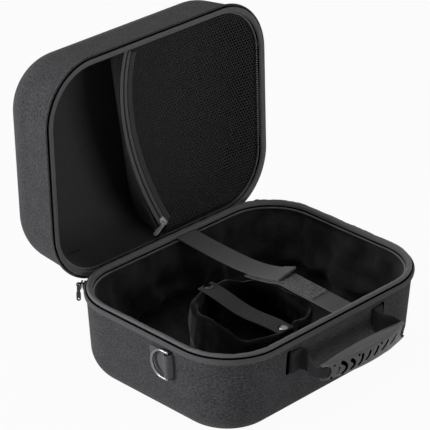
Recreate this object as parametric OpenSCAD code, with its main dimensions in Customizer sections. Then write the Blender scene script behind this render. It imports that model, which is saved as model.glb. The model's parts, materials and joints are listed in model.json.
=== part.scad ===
// Travel case for a virtual reality headset, standing open on its base.
// X runs along the hinge, -Y is the handle side, +Y the hinge side, +Z is up.
// The origin is the middle of the base's flat underside.

/* [Shells] */
// Width of the case along the hinge, outside the rim beads
case_w = 300; // [280:1:320]
// Depth of the case from the handle side to the hinge side, outside the rim beads
case_d = 232; // [224:1:244]
// Radius of the case's upright corners, seen from above
corner_r = 62; // [58:1:68]
// Thickness of the moulded foam shell with its cloth face
shell_t = 3.5; // [2.5:0.5:4]
// Thickness of the padded lining
lining_t = 2; // [1.5:0.5:2.5]

/* [Base] */
// Height of the base from the underside to the top of its bead
base_h = 92; // [88:1:96]
// Radius of the edge between the base's walls and its underside
base_edge_r = 32; // [26:1:34]
// How far the base's walls lean in from the rim down to the underside
base_draft = 6; // [4:0.5:7]
// Height of the base's rim bead
base_bead_h = 7; // [5:0.5:8]

/* [Lid] */
// Height of the lid from its bead to its outer face
lid_h = 79.5; // [76:0.5:82]
// Radius of the edge between the lid's walls and its outer face
lid_edge_r = 45; // [38:1:47]
// How far the lid's walls lean in from the rim to the outer face
lid_draft = 8; // [6:0.5:9]
// Height of the lid's rim bead
lid_bead_h = 4.2; // [3.5:0.1:5]
// Angle through which the lid has been opened
open_angle = 92.5; // [91:0.5:94]
// How far the lid's hinged edge stands below the top of the base's bead when open
lid_drop = 11; // [10:0.5:12]

/* [Rim] */
// How far a bead stands proud of the wall below it
bead_over = 2.2; // [1.5:0.1:2.5]
// Inset of the zip tape's inner edge from the bead
tape_w = 9; // [8.5:0.1:9.5]
// Rise of the base's zip tape above its bead
base_tape_rise = 3.6; // [3:0.1:3.8]
// Rise of the lid's zip tape beyond its bead
lid_tape_rise = 1.6; // [1:0.1:2]
// Radius of the zip's coil
coil_r = 1.1; // [0.8:0.1:1.2]

/* [Handle] */
// Height of the middle of the handle above the underside
handle_z = 68; // [62:1:70]
// Distance of each webbing slit from the middle of the front wall
slit_x = 66; // [64:1:68]
// Distance from the case's front to the middle of the grip's front face
grip_reach = 41; // [39:1:43]
// Distance between the two ends of the grip
grip_len = 119; // [117:1:121]
// Height of the grip
grip_h = 18; // [17.5:0.5:20]
// Thickness of the grip from front to back at its middle
grip_t = 16; // [15:0.5:17]
// Thickness of the grip at its ends
grip_end_t = 4; // [3:0.5:4.5]
// How far the middle of the grip's front face bows out past its ends
grip_bow = 8.5; // [7:0.5:9]
// Width of the carrying webbing
webbing_w = 24; // [22:0.5:25]

/* [Shoulder strap rings] */
// Height of the middle of each ring above the underside
ring_z = 68; // [64:1:69]
// Distance of each ring's straight bar in front of the case's middle
ring_bar_y = 36.5; // [30:0.5:38]
// Radius of the ring's round end, to the middle of the wire
ring_r = 14.4; // [14.2:0.1:15]
// Radius of the ring's wire
wire_r = 1.6; // [1.4:0.1:1.7]

/* [Holding straps] */
// Width of the two straps over the base
strap_w = 26; // [22:1:30]
// Distance of the straps' middle from the case's middle
strap_x = 17; // [14:1:20]
// Thickness of a strap
strap_t = 1.5; // [1.2:0.1:1.6]

/* [Pouch] */
// Width and length of the loose pouch in the base
pouch_w = 111; // [100:1:114]
// Corner radius of the pouch, seen from above
pouch_r = 46; // [40:1:50]
// Height of the pouch's rim above the underside, at its middle
pouch_rim_z = 74; // [68:1:76]
// Thickness of the pouch's padded wall
pouch_t = 6; // [4:0.5:7]
// Width of the pouch's lifting strap
pouch_strap_w = 20; // [16:1:24]

/* [Lid pocket] */
// Distance from the lid's rim plane in to the pocket's net
net_depth = 6.6; // [6.6:0.1:7.5]
// Thickness of the net
net_t = 1; // [0.8:0.1:1.2]
// Distance between the rows of openings in the net
net_pitch = 15; // [14.5:0.5:18]
// Width of one side of the pocket's zip tape
pocket_tape_w = 5; // [4:0.5:6]

/* [Hidden] */

$fn = 48;
half_w = case_w / 2;
half_d = case_d / 2;
glue = 0.1;

shell_grey = [0.27, 0.27, 0.28];
velvet_black = [0.13, 0.13, 0.14];
knit_grey = [0.22, 0.22, 0.23];
tape_grey = [0.38, 0.38, 0.39];
webbing_grey = [0.33, 0.33, 0.34];
metal = [0.78, 0.78, 0.80];
rubber_grey = [0.36, 0.36, 0.37];

// Where the lid is when shut and when open, from its rear rim edge
rim_gap = 1;
shut_z = base_h + base_tape_rise + rim_gap;
open_y = half_d + 0.3;
open_z = base_h - lid_drop;
pivot_lever = 2 * tan(open_angle / 2);
hinge_y = (half_d + open_y) / 2 + (open_z - shut_z) / pivot_lever;
hinge_z = (shut_z + open_z) / 2 - (open_y - half_d) / pivot_lever;

// Points on an arc from angle a0 to a1
function arc(cx, cy, r, a0, a1, n) =
    [for (i = [0:n]) let (a = a0 + (a1 - a0) * i / n) [cx + r * cos(a), cy + r * sin(a)]];

// A band of the given width along a line of points in the plane
function unit(v) = v / norm(v);
function heading(p, i) = unit(p[min(i + 1, len(p) - 1)] - p[max(i - 1, 0)]);
function beside(p, off) =
    [for (i = [0:len(p) - 1]) let (h = heading(p, i)) p[i] + off * [-h[1], h[0]]];
function reversed(p) = [for (i = [len(p) - 1:-1:0]) p[i]];
module band(p, width) {
    polygon(concat(beside(p, width / 2), reversed(beside(p, -width / 2))));
}

// Point on a cubic curve with four control points
function cubic(c, t) =
    pow(1 - t, 3) * c[0] + 3 * t * pow(1 - t, 2) * c[1] + 3 * t * t * (1 - t) * c[2] + pow(t, 3) * c[3];

// Carries a section round the rounded outline. The section's x is the inset from the outline.
module around(w, d, r) {
    for (q = [0:3])
        translate([(q == 0 || q == 3 ? 1 : -1) * (w / 2 - r), (q < 2 ? 1 : -1) * (d / 2 - r), 0])
            rotate([0, 0, 90 * q]) rotate_extrude(angle = 90) translate([r, 0]) mirror([1, 0]) children();
    for (side = [0:3])
        rotate([0, 0, 90 * side])
            translate([(side % 2 == 0 ? w : d) / 2, (side % 2 == 0 ? d : w) / 2 - r, 0])
                rotate([90, 0, 0])
                    linear_extrude((side % 2 == 0 ? d : w) - 2 * r) mirror([1, 0]) children();
}

// Inset of a leaning wall's outer face at height z
function wall_in(z, h, draft) = bead_over + draft * (1 - z / h);

// Section of one layer of a moulded half, from depth a to depth b behind its outer face
module layer_section(h, edge_r, draft, a, b) {
    e = wall_in(edge_r, h, draft);
    c = e + edge_r;
    polygon(concat([[bead_over + a, h]], arc(c, edge_r, edge_r - a, 180, 270, 8), [[corner_r, a], [corner_r, b]],
        arc(c, edge_r, edge_r - b, 270, 180, 8), [[bead_over + b, h]]));
}

// The bead stands proud of the wall with a bevel under it and rounded edges
module bead_section(h, bead_h) {
    r = 1.4;
    polygon(concat([[bead_over + 0.5, h]], arc(r, h - r, r, 90, 180, 4), arc(r, h - bead_h + r, r, 180, 215, 3),
        [[wall_in(h - bead_h, h, base_draft), h - bead_h - 1], [bead_over + 0.5, h - bead_h - 1]]));
}

module floor_panel(a, b) {
    translate([-half_w + corner_r, -half_d + corner_r, a])
        cube([case_w - 2 * corner_r, case_d - 2 * corner_r, b - a]);
}

// One moulded half: wall, rounded edge and flat face in one piece, with its bead
module half_shell(h, edge_r, draft, bead_h) {
    around(case_w, case_d, corner_r) union() {
        layer_section(h, edge_r, draft, 0, shell_t);
        bead_section(h, bead_h);
    }
    floor_panel(0, shell_t);
}

module half_lining(h, edge_r, draft) {
    a = shell_t + glue;
    b = a + lining_t;
    around(case_w, case_d, corner_r) layer_section(h, edge_r, draft, a, b);
    floor_panel(a, b);
}

// Folded zip tape that rolls over the top of the shell and lining
lining_in = bead_over + shell_t + glue + lining_t;
tape_leg = 2.5;
module half_tape(h, rise) {
    crease = 1.8;
    leg_in = lining_in + 0.4;
    around(case_w, case_d, corner_r)
        polygon([[crease, h + glue], [crease + 0.2, h + rise * 0.45], [crease + 1.2, h + rise * 0.8],
            [crease + 2.8, h + rise], [crease + 4.2, h + rise * 0.94], [tape_w - 1, h + rise * 0.6],
            [tape_w, h], [tape_w, h - tape_leg], [leg_in, h - tape_leg], [leg_in, h + glue]]);
}

module half_coil(h) {
    around(case_w, case_d, corner_r) translate([tape_w + 0.4, h - tape_leg - glue - coil_r]) circle(coil_r);
}

// Places what is drawn in the lid's own frame, whose z = 0 is its rim plane and whose +z is its outer face
module on_lid() {
    translate([0, hinge_y, hinge_z]) rotate([-open_angle, 0, 0]) translate([0, -hinge_y, shut_z - hinge_z])
        children();
}
module lid_half() {
    on_lid() translate([0, 0, lid_h + lid_tape_rise]) mirror([0, 0, 1]) children();
}

module base_shell() {
    color(shell_grey) difference() {
        half_shell(base_h, base_edge_r, base_draft, base_bead_h);
        for (s = [-1, 1])
            translate([s * slit_x - slit_w / 2, -half_d, handle_z - webbing_w / 2 - 1])
                cube([slit_w, bead_over + shell_t + base_draft, webbing_w + 2]);
    }
}
module base_lining() { color(velvet_black) half_lining(base_h, base_edge_r, base_draft); }
module base_zip_tape() { color(tape_grey) half_tape(base_h, base_tape_rise); }
module base_zip_coil() { color(tape_grey) half_coil(base_h); }

module lid_shell() { color(shell_grey) lid_half() half_shell(lid_h, lid_edge_r, lid_draft, lid_bead_h); }
module lid_lining() { color(knit_grey) lid_half() half_lining(lid_h, lid_edge_r, lid_draft); }
module lid_zip_tape() { color(tape_grey) lid_half() half_tape(lid_h, lid_tape_rise); }
module lid_zip_coil() { color(tape_grey) lid_half() half_coil(lid_h); }

// Where a point of the lid at distance y from the middle and at a depth behind its rim plane is when open
function when_open(y, depth) =
    let (dy = y - hinge_y, dz = shut_z + depth - hinge_z)
    [hinge_y + dy * cos(open_angle) + dz * sin(open_angle), hinge_z - dy * sin(open_angle) + dz * cos(open_angle)];

// Cloth spine, sewn to the base's wall and the lid's wall behind their beads, that hangs in a loop when open
spine_t = 1;
spine_dip = 6;
module hinge_strip() {
    seat = spine_t / 2 + glue;
    z0 = base_h - base_bead_h - 1.4;
    y0 = half_d - wall_in(z0, base_h, base_draft) + seat;
    sewn = [for (depth = [lid_bead_h + lid_tape_rise + 5, lid_bead_h + lid_tape_rise + 9])
        when_open(half_d - wall_in(lid_h + lid_tape_rise - depth, lid_h, lid_draft) + seat, depth)];
    y1 = sewn[0][0] - 3;
    mid = (y0 + y1) / 2;
    rad = (y1 - y0) / 2;
    loop = concat([[y0, z0]], arc(mid, z0 - spine_dip, rad, 180, 360, 10), [[y1, open_z - 2], sewn[0] - [1, 0.4]], sewn);
    color(shell_grey) translate([-half_w + corner_r, 0, 0]) rotate([90, 0, 90])
        linear_extrude(case_w - 2 * corner_r) band(loop, spine_t);
}

// Seen from above the grip is a lens: its front bows out, its back bows towards the case and its ends are thin
slit_w = 6;
grip_y = -half_d - grip_reach;
grip_half = grip_len / 2;
back_bow = grip_t - grip_end_t - grip_bow;
lens_steps = 24;
function bow_r(bow, half) = (half * half + bow * bow) / (2 * bow);
function bowed(bow, half, inset) =
    let (r = bow_r(bow, half), sweep = asin(half / r))
    [for (i = [0:lens_steps]) let (a = sweep * (2 * i / lens_steps - 1)) [r * sin(a), r * (1 - cos(a)) + inset]];
module lens(inset) {
    half = grip_half - inset;
    front = bowed(grip_bow, half, inset);
    back = bowed(back_bow, half, inset);
    translate([0, grip_y]) polygon(concat(front, [for (p = reversed(back)) [p[0], grip_t - p[1]]]));
}

// Draws a flat shape square to the front, from well before the grip to well behind it
module from_front() {
    translate([0, grip_y + 2 * grip_t, handle_z]) rotate([90, 0, 0]) linear_extrude(3 * grip_t) children();
}
edge_r = 3;
end_r = 5;
slice = 0.05;
module grip_body() {
    intersection() {
        hull() for (a = [0, 45, 90], side = [-1, 1])
            translate([0, 0, handle_z + side * (grip_h / 2 - edge_r * (1 - sin(a)) - slice / 2) - slice / 2])
                linear_extrude(slice) lens(edge_r * (1 - cos(a)) * 0.6);
        from_front() {
            square([grip_len, grip_h - 2 * end_r], center = true);
            square([grip_len - 2 * end_r, grip_h], center = true);
            for (x = [-1, 1], z = [-1, 1]) translate([x * (grip_half - end_r), z * (grip_h / 2 - end_r)]) circle(end_r);
        }
    }
}

// Each slot is a stroke from its foot to its head, bulging to the right, that widens towards a round head.
// They start as fat crescents at the left and end as thin leaning strokes: foot, head, bulge and width.
slots = [[[-43.6, -4.7], [-40.2, 1.6], 1.3, 1.4], [[-37, -6.4], [-36.5, 5.2], 5.2, 3.2],
    [[-26.4, -4.9], [-25.2, 3.9], 4, 3.2], [[-16.6, -4.2], [-11.2, 4.4], 1.5, 2.6],
    [[-6.8, -2.6], [-0.8, 4], 0.9, 2.2], [[4.6, -2.2], [10.6, 3.8], 0.7, 2.2],
    [[16.2, -2], [26.2, 4], 0.7, 2], [[30.8, -1.6], [41.8, 3.8], 0.6, 1.8]];
slot_steps = 8;
module slot_stroke(foot, head, bulge, width) {
    out = unit([head[1] - foot[1], foot[0] - head[0]]);
    line = [for (i = [0:slot_steps]) let (t = i / slot_steps) foot + (head - foot) * t + out * bulge * 4 * t * (1 - t)];
    function edge(side) = [for (i = [0:slot_steps]) let (h = heading(line, i))
        line[i] + side * width * (0.2 + 0.3 * i / slot_steps) * [-h[1], h[0]]];
    polygon(concat(edge(1), reversed(edge(-1))));
    translate(head) circle(width / 2, $fn = 24);
    translate(foot) circle(width / 5, $fn = 16);
}

// Small round holes beside the slots, and the round notch at each end where the webbing comes through
dots = [[-45.8, 5], [-49.2, -7], [-15.9, 5.9], [16, 5.6]];
dot_r = 1.1;
notch_r = 6.8;
notch_x = grip_half - 3.5;
module handle_grip() {
    color(rubber_grey) difference() {
        grip_body();
        from_front() {
            for (s = slots) slot_stroke(s[0], s[1], s[2], s[3]);
            for (d = dots) translate(d) circle(dot_r, $fn = 24);
            for (side = [0, 1]) mirror([side, 0]) translate([notch_x, 0]) {
                circle(notch_r);
                translate([0, -notch_r]) square([grip_len, 2 * notch_r]);
            }
        }
    }
}

// The carrying webbing comes out at the inner end of its slit, runs along the wall, swings out round the grip's end
// and folds into the notch, getting narrower on the way
webbing_t = 1.8;
notch_gap = 0.5;
function cubic_path(c, n) = [for (i = [1:n]) cubic(c, i / n)];
module webbing_plan() {
    turn = 1.7;
    bend = 3.5;
    x0 = slit_x - slit_w / 2 + webbing_t / 2 + 0.2;
    wall_y = -half_d + 0.8;
    out_x = x0 - 14;
    end_x = grip_half + 3;
    round_y = grip_y + grip_bow + 10;
    end_y = grip_y + 8;
    swing = cubic_path([[out_x, wall_y - bend], [out_x, wall_y - 16], [end_x, round_y + 11], [end_x, round_y]], 8);
    fold = cubic_path([[end_x, round_y], [end_x, round_y - 6.5], [end_x - 3.5, end_y + 0.3],
        [notch_x - notch_r + 0.2, end_y]], 8);
    band(concat([[x0, -half_d + 5]], arc(x0 - turn, wall_y + turn, turn, 0, -90, 4),
        arc(out_x + bend, wall_y - bend, bend, 90, 180, 5), swing, fold), webbing_t);
}
module webbing_side() {
    near = -half_d - 8;
    far = grip_y + grip_t + 3;
    half = webbing_w / 2;
    tip = notch_r - notch_gap;
    polygon([[-half_d + 6, -half], [near, -half], [far, -tip], [grip_y, -tip],
        [grip_y, tip], [far, tip], [near, half], [-half_d + 6, half]]);
}
module webbing_front() {
    reach = grip_half + 20 - notch_x;
    translate([notch_x, 0]) {
        circle(notch_r - notch_gap);
        translate([0, -webbing_w / 2]) square([reach, webbing_w]);
    }
}
module handle_webbing() {
    intersection() {
        translate([0, 0, handle_z - webbing_w / 2]) linear_extrude(webbing_w) webbing_plan();
        translate([grip_half - 30, 0, handle_z]) rotate([90, 0, 90]) linear_extrude(50) webbing_side();
        union() {
            from_front() webbing_front();
            translate([0, -half_d - 22, handle_z - webbing_w / 2]) cube([case_w, 40, webbing_w]);
        }
    }
}
module handle_webbing_left() { color(webbing_grey) mirror([1, 0, 0]) handle_webbing(); }
module handle_webbing_right() { color(webbing_grey) handle_webbing(); }

// Ring for a shoulder strap: a straight bar, two short legs and a half circle, all of one wire
ring_leg = 6;
sleeve_gap = 0.35;
sleeve_t = 1.2;
tab_t = 1.4;
ring_x = half_w + 0.9;
module d_ring() {
    translate([ring_x, -ring_bar_y, ring_z]) {
        cylinder(r = wire_r, h = 2 * ring_r, center = true);
        for (s = [-1, 1]) translate([0, 0, s * ring_r]) {
            sphere(wire_r);
            rotate([-90, 0, 0]) cylinder(r = wire_r, h = ring_leg);
        }
        translate([0, ring_leg, 0]) rotate([0, -90, 0]) rotate_extrude(angle = 180)
            translate([ring_r, 0]) circle(wire_r);
    }
}

// Webbing tab sewn flat on the wall, with a sleeve round the ring's bar
tab_half = ring_r - wire_r - 0.4;
tab_len = 30;
module ring_tab() {
    lo = ring_z - tab_half;
    hi = ring_z + tab_half;
    function face(z) = half_w - wall_in(z, base_h, base_draft) + glue;
    difference() {
        union() {
            translate([0, -ring_bar_y + tab_len - 4, 0]) rotate([90, 0, 0]) linear_extrude(tab_len)
                polygon([[face(lo), lo], [face(lo) + tab_t, lo], [face(hi) + tab_t, hi], [face(hi), hi]]);
            translate([0, -ring_bar_y + wire_r + sleeve_gap, 0]) rotate([90, 0, 0])
                linear_extrude(2 * (wire_r + sleeve_gap))
                    polygon([[face(lo), lo], [ring_x, lo], [ring_x, hi], [face(hi), hi]]);
            translate([ring_x, -ring_bar_y, lo])
                cylinder(r = wire_r + sleeve_gap + sleeve_t, h = hi - lo);
        }
        translate([ring_x, -ring_bar_y, lo - 1]) cylinder(r = wire_r + sleeve_gap, h = hi - lo + 2);
    }
}
module ring_tab_left() { color(webbing_grey) mirror([1, 0, 0]) ring_tab(); }
module ring_tab_right() { color(webbing_grey) ring_tab(); }
module d_ring_left() { color(metal) mirror([1, 0, 0]) d_ring(); }
module d_ring_right() { color(metal) d_ring(); }

// Height of the upper holding strap along Y: it sags behind its middle and its free end is lifted
strap_low_y = 30;
strap_low_z = 88.5;
hook_end_y = -33;
loop_end_y = 12;
patch_t = 1;
patch_end_y = -76;
strap_root_y = half_d - tape_w - 2 * glue;
patch_off = (strap_t + patch_t) / 2 + 0.15;
loop_drop = 3.8;
function hook_z(y) = strap_low_z + (y > strap_low_y ? 0.0006 : 0.0024) * pow(y - strap_low_y, 2);
function loop_z(y) = hook_z(max(y, hook_end_y)) - 2 * patch_off - patch_t - glue
    - max(0, hook_end_y - y) / (hook_end_y + strap_root_y) * loop_drop;
function steps(y0, y1, n) = [for (i = [0:n]) y0 + (y1 - y0) * i / n];
function hook_line(ys, off) = [for (y = ys) [y, hook_z(y) + off]];
function loop_line(y0, y1, off) =
    [for (y = concat(steps(y0, hook_end_y + 1, 8), steps(hook_end_y - 1, y1, 6))) [y, loop_z(y) + off]];
module strap_band(line, t, w) {
    translate([strap_x - w / 2, 0, 0]) rotate([90, 0, 90]) linear_extrude(w) band(line, t);
}
module hook_strap() { color(webbing_grey) strap_band(hook_line(steps(strap_root_y, hook_end_y, 16), 0), strap_t, strap_w); }
module hook_patch() {
    color(velvet_black)
        strap_band(hook_line(steps(loop_end_y, hook_end_y + 2, 8), -patch_off), patch_t, strap_w - 3);
}
module loop_strap() { color(webbing_grey) strap_band(loop_line(loop_end_y, -strap_root_y, 0), strap_t, strap_w); }
module loop_patch() {
    color(tape_grey) strap_band(loop_line(loop_end_y - 3, patch_end_y, patch_off), patch_t, strap_w - 2);
}

// Soft open pouch that stands loose on the base's lining
pouch_x = -20;
pouch_y = -20;
pouch_floor = shell_t + glue + lining_t + 0.1;
pouch_edge_r = 14;
pouch_slope = 3.4;
module pouch_section(top) {
    c = pouch_edge_r;
    polygon(concat([[0, top]], arc(c, c, c, 180, 270, 6), [[pouch_r, 0], [pouch_r, pouch_t]],
        arc(c, c, c - pouch_t, 270, 180, 6), [[pouch_t, top]]));
}
module pouch() {
    top = pouch_rim_z - pouch_floor;
    color(velvet_black) translate([pouch_x, pouch_y, pouch_floor]) difference() {
        union() {
            around(pouch_w, pouch_w, pouch_r) pouch_section(top + 6);
            translate([-pouch_w / 2 + pouch_r, -pouch_w / 2 + pouch_r, 0])
                cube([pouch_w - 2 * pouch_r, pouch_w - 2 * pouch_r, pouch_t]);
        }
        translate([0, 0, top]) rotate([pouch_slope, 0, 0]) translate([-pouch_w, -pouch_w, 0])
            cube([2 * pouch_w, 2 * pouch_w, 30]);
    }
}

// Lifting strap across the pouch's mouth, from rim to rim, with a sag between
pouch_strap_x = -28;
pouch_strap_sag = 4;
function pouch_rim_at(y) = pouch_rim_z + (y - pouch_y) * tan(pouch_slope);
module pouch_strap() {
    y0 = pouch_y + pouch_w / 2 - 0.5;
    y1 = pouch_y - pouch_w / 2 + 0.5;
    n = 14;
    line = [for (i = [0:n]) let (t = i / n, y = y0 + (y1 - y0) * t, s = max(0, sin(180 * (t - 0.08) / 0.84)))
        [y, pouch_rim_at(y) + strap_t / 2 + 0.2 - pouch_strap_sag * (t > 0.08 && t < 0.92 ? s * s : 0)]];
    color(webbing_grey) translate([pouch_strap_x - pouch_strap_w / 2, 0, 0]) rotate([90, 0, 90])
        linear_extrude(pouch_strap_w) band(line, strap_t);
}
rivet_r = 5;
rivet_h = 1.8;
rivet_in = 4.2;
module rivet(y) {
    translate([pouch_strap_x, y, pouch_rim_at(y) + strap_t + 0.45]) rotate([pouch_slope, 0, 0])
        rotate_extrude()
            polygon(concat([[0, 0], [rivet_r, 0], [rivet_r, 0.5]],
                [for (a = [15:15:90]) [rivet_r * cos(a), 0.5 + (rivet_h - 0.5) * sin(a)]]));
}
module pouch_rivet_back() { color(metal) rivet(pouch_y + pouch_w / 2 - rivet_in - 1.5); }
module pouch_rivet_front() { color(metal) rivet(pouch_y - pouch_w / 2 + rivet_in + 1.5); }

// The pocket's zip runs in one long curve from the lid's front rim to its hinge rim
pocket_in = lining_in + 0.9;
zip_line = [[-35, -half_d + pocket_in + 3], [-52, -65], [-47, 7], [3, half_d - pocket_in - 13]];
function zip_curve(n) = [for (i = [0:n]) cubic(zip_line, i / n)];

module lid_opening() {
    r = corner_r - pocket_in;
    w = case_w - 2 * pocket_in;
    d = case_d - 2 * pocket_in;
    square([w - 2 * r, d], center = true);
    square([w, d - 2 * r], center = true);
    for (x = [-1, 1], y = [-1, 1]) translate([x * (w / 2 - r), y * (d / 2 - r)]) circle(r);
}

// The net is one sheet behind the lid's rim, with its six-sided openings drawn larger than the real ones
module net_sheet() {
    curve = beside(zip_curve(16), -(pocket_tape_w + 2 * glue));
    difference() {
        intersection() {
            lid_opening();
            polygon(concat([[half_w, -half_d], curve[0] - [0, 12]], curve, [curve[16] + [6, 30], [half_w, half_d]]));
        }
        for (j = [-6:6], i = [-3:8]) {
            p = [(i + (j % 2 == 0 ? 0 : 0.5)) * net_pitch, j * net_pitch];
            if (in_net(p)) translate(p) circle(net_pitch * 0.28, $fn = 6);
        }
    }
}
net_margin = 13;
function net_left(y) = lookup(y, [for (p = zip_curve(16)) [p[1], p[0]]]);
function in_net(p) =
    let (rx = half_w - pocket_in - net_margin, ry = half_d - pocket_in - net_margin, r = corner_r - pocket_in - net_margin,
        cx = max(abs(p[0]) - (rx - r), 0), cy = max(abs(p[1]) - (ry - r), 0))
    p[0] > net_left(p[1]) + pocket_tape_w + net_margin && norm([cx, cy]) < r;
module pocket_net() {
    color(knit_grey) on_lid() translate([0, 0, net_depth]) linear_extrude(net_t) net_sheet();
}

// A narrow binding joins the net to the right side of the zip tape. Tapes and net lie in one plane.
binding_w = 3.4;
binding_t = 1.1;
coil_half = 0.8;
coil_proud = 0.3;
tape_t = 0.9;
module zip_band(line, off, width, z, t) {
    on_lid() translate([0, 0, z]) linear_extrude(t) band(beside(line, off), width);
}
module pocket_binding() {
    color(tape_grey) zip_band(zip_curve(16), -(pocket_tape_w + 1), binding_w, net_depth - binding_t - glue, binding_t);
}
module pocket_zip_tapes() {
    inner = coil_half + glue;
    color(knit_grey) for (s = [-1, 1])
        zip_band(zip_curve(16), s * (pocket_tape_w + inner) / 2, pocket_tape_w - inner, net_depth, tape_t);
}
module pocket_zip_coil() {
    closed = [for (p = zip_curve(16)) if (p[1] < pocket_foot[1] - 4) p];
    color(velvet_black) zip_band(closed, 0, 2 * coil_half, net_depth - coil_proud, tape_t + 2 * coil_proud);
}

// Inset of the lid lining's inner face at a distance in from the rim plane
function lid_in(depth) =
    let (d = lid_h + lid_tape_rise - depth, a = shell_t + glue + lining_t,
        c = wall_in(lid_edge_r, lid_h, lid_draft) + lid_edge_r)
    d > lid_edge_r ? wall_in(d, lid_h, lid_draft) + a
        : c - sqrt(max(0, pow(lid_edge_r - a, 2) - pow(lid_edge_r - d, 2)));

// A dark cloth wall slants from the zip's left tape back to the lid's floor and closes the pocket
wall_rows = 12;
wall_cols = 6;
wall_t = 0.8;
pocket_floor_x = [2, 19];
module pocket_wall() {
    d0 = net_depth + tape_t + glue;
    d1 = lid_h + lid_tape_rise - shell_t - glue - lining_t - 0.8;
    zip_x = [for (p = zip_curve(wall_rows)) p[0] - pocket_tape_w + wall_t / 2];
    function spot(i, j, side) =
        let (v = j / wall_cols, depth = d0 + (d1 - d0) * v, s = 2 * i / wall_rows - 1,
            reach = half_d - lid_in(depth) - 0.6,
            back_x = pocket_floor_x[0] + (pocket_floor_x[1] - pocket_floor_x[0]) * i / wall_rows)
        [zip_x[i] * (1 - v) + back_x * v + side * wall_t / 2, s * reach, depth];
    cols = wall_cols + 1;
    sheet = (wall_rows + 1) * cols;
    pts = [for (side = [-1, 1], i = [0:wall_rows], j = [0:wall_cols]) spot(i, j, side)];
    function at(i, j, k) = k * sheet + i * cols + j;
    quads = concat(
        [for (i = [0:wall_rows - 1], j = [0:wall_cols - 1])
            [at(i, j, 0), at(i, j + 1, 0), at(i + 1, j + 1, 0), at(i + 1, j, 0)]],
        [for (i = [0:wall_rows - 1], j = [0:wall_cols - 1])
            [at(i, j, 1), at(i + 1, j, 1), at(i + 1, j + 1, 1), at(i, j + 1, 1)]],
        [for (i = [0:wall_rows - 1]) each [
            [at(i, 0, 0), at(i + 1, 0, 0), at(i + 1, 0, 1), at(i, 0, 1)],
            [at(i, wall_cols, 0), at(i, wall_cols, 1), at(i + 1, wall_cols, 1), at(i + 1, wall_cols, 0)]]],
        [for (j = [0:wall_cols - 1]) each [
            [at(0, j, 0), at(0, j, 1), at(0, j + 1, 1), at(0, j + 1, 0)],
            [at(wall_rows, j, 0), at(wall_rows, j + 1, 0), at(wall_rows, j + 1, 1), at(wall_rows, j, 1)]]]);
    color(velvet_black) on_lid() polyhedron(pts, [for (q = quads) each [[q[0], q[1], q[2]], [q[0], q[2], q[3]]]]);
}

// Zip slider: two plates joined by a post, with a bridge for the pull. It lies along X with its bridge up,
// and z = 0 is the middle of its throat.
slider_l = 11;
slider_w = 7.6;
plate_t = 1;
throat = 2;
bridge_w = 1.4;
bridge_t = 1;
bridge_gap = 2.1;
bridge_l = 8;
bridge_foot = 1.6;
post_r = 0.8;
bridge_z = throat / 2 + plate_t + bridge_gap + bridge_t / 2;
module slider_plate() {
    linear_extrude(plate_t)
        polygon(concat([[-slider_l / 2, -slider_w * 0.32], [slider_l * 0.1, -slider_w / 2]],
            arc(slider_l / 2 - slider_w / 2, 0, slider_w / 2, -75, 75, 8),
            [[slider_l * 0.1, slider_w / 2], [-slider_l / 2, slider_w * 0.32]]));
}
module zip_slider() {
    translate([0, 0, throat / 2]) slider_plate();
    translate([0, 0, -throat / 2 - plate_t]) slider_plate();
    translate([slider_l * 0.3, 0, -throat / 2 - glue]) cylinder(r = post_r, h = throat + 2 * glue);
    translate([0, bridge_w / 2, throat / 2 + plate_t]) rotate([90, 0, 0]) linear_extrude(bridge_w) difference() {
        polygon([[-bridge_l / 2, -glue], [bridge_l / 2, -glue], [bridge_l / 2 - 1, bridge_gap + bridge_t],
            [-bridge_l / 2 + 1, bridge_gap + bridge_t]]);
        translate([-bridge_l / 2 + bridge_foot, -1]) square([bridge_l - 2 * bridge_foot, bridge_gap + 1]);
    }
}

// Pull: a flat bar whose ring turns on the slider's bridge. The bridge is the X axis, and the bar runs along -Y.
pull_l = 18;
pull_w = 4.4;
pull_t = 1.2;
ring_in = 1.2;
ring_out = 2.3;
module zip_pull() {
    rotate([90, 0, 90]) translate([0, 0, -pull_t / 2]) linear_extrude(pull_t) difference() {
        union() {
            circle(ring_out);
            translate([-pull_l / 2, -pull_w / 2 + 0.6]) square([pull_l / 2, pull_w - 1.2]);
            translate([-pull_l + pull_w / 2, -pull_w / 2]) square([pull_l / 2 - pull_w / 2, pull_w]);
            translate([-pull_l + pull_w / 2, 0]) circle(pull_w / 2);
        }
        circle(ring_in);
        translate([-pull_l + pull_w / 2, 0]) circle(1);
    }
}

// The pocket's slider stands at the foot of its zip, and its pull hangs across the zip, down towards -X
pocket_foot = zip_line[3];
pocket_dir = atan2(zip_line[3][1] - zip_line[2][1], zip_line[3][0] - zip_line[2][0]);
module at_pocket_foot() {
    on_lid() translate([pocket_foot[0], pocket_foot[1], net_depth + tape_t / 2]) rotate([0, 0, pocket_dir])
        rotate([180, 0, 0]) translate([-slider_l / 2 + 1, 0, 0]) children();
}
module pocket_slider() { color(metal) at_pocket_foot() zip_slider(); }
module pocket_pull() { color(metal) at_pocket_foot() translate([0, 0, bridge_z]) zip_pull(); }

// The main zip's two sliders wait at its ends, where the rims part at the hinge side's corners
main_turn = 34;
main_z = base_h - base_bead_h / 2 - 0.4;
slider_seat = throat / 2 + plate_t + glue;
module at_main_end() {
    translate([half_w - corner_r, half_d - corner_r, main_z]) rotate([0, 0, -main_turn])
        translate([0, corner_r + slider_seat, 0]) rotate([-90, 0, 0]) rotate([0, 0, 180]) children();
}
module main_slider() { at_main_end() zip_slider(); }
module main_pull() { at_main_end() translate([0, 0, bridge_z]) zip_pull(); }
module zip_slider_right() { color(metal) main_slider(); }
module zip_slider_left() { color(metal) mirror([1, 0, 0]) main_slider(); }
module zip_pull_right() { color(metal) main_pull(); }
module zip_pull_left() { color(metal) mirror([1, 0, 0]) main_pull(); }

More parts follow.
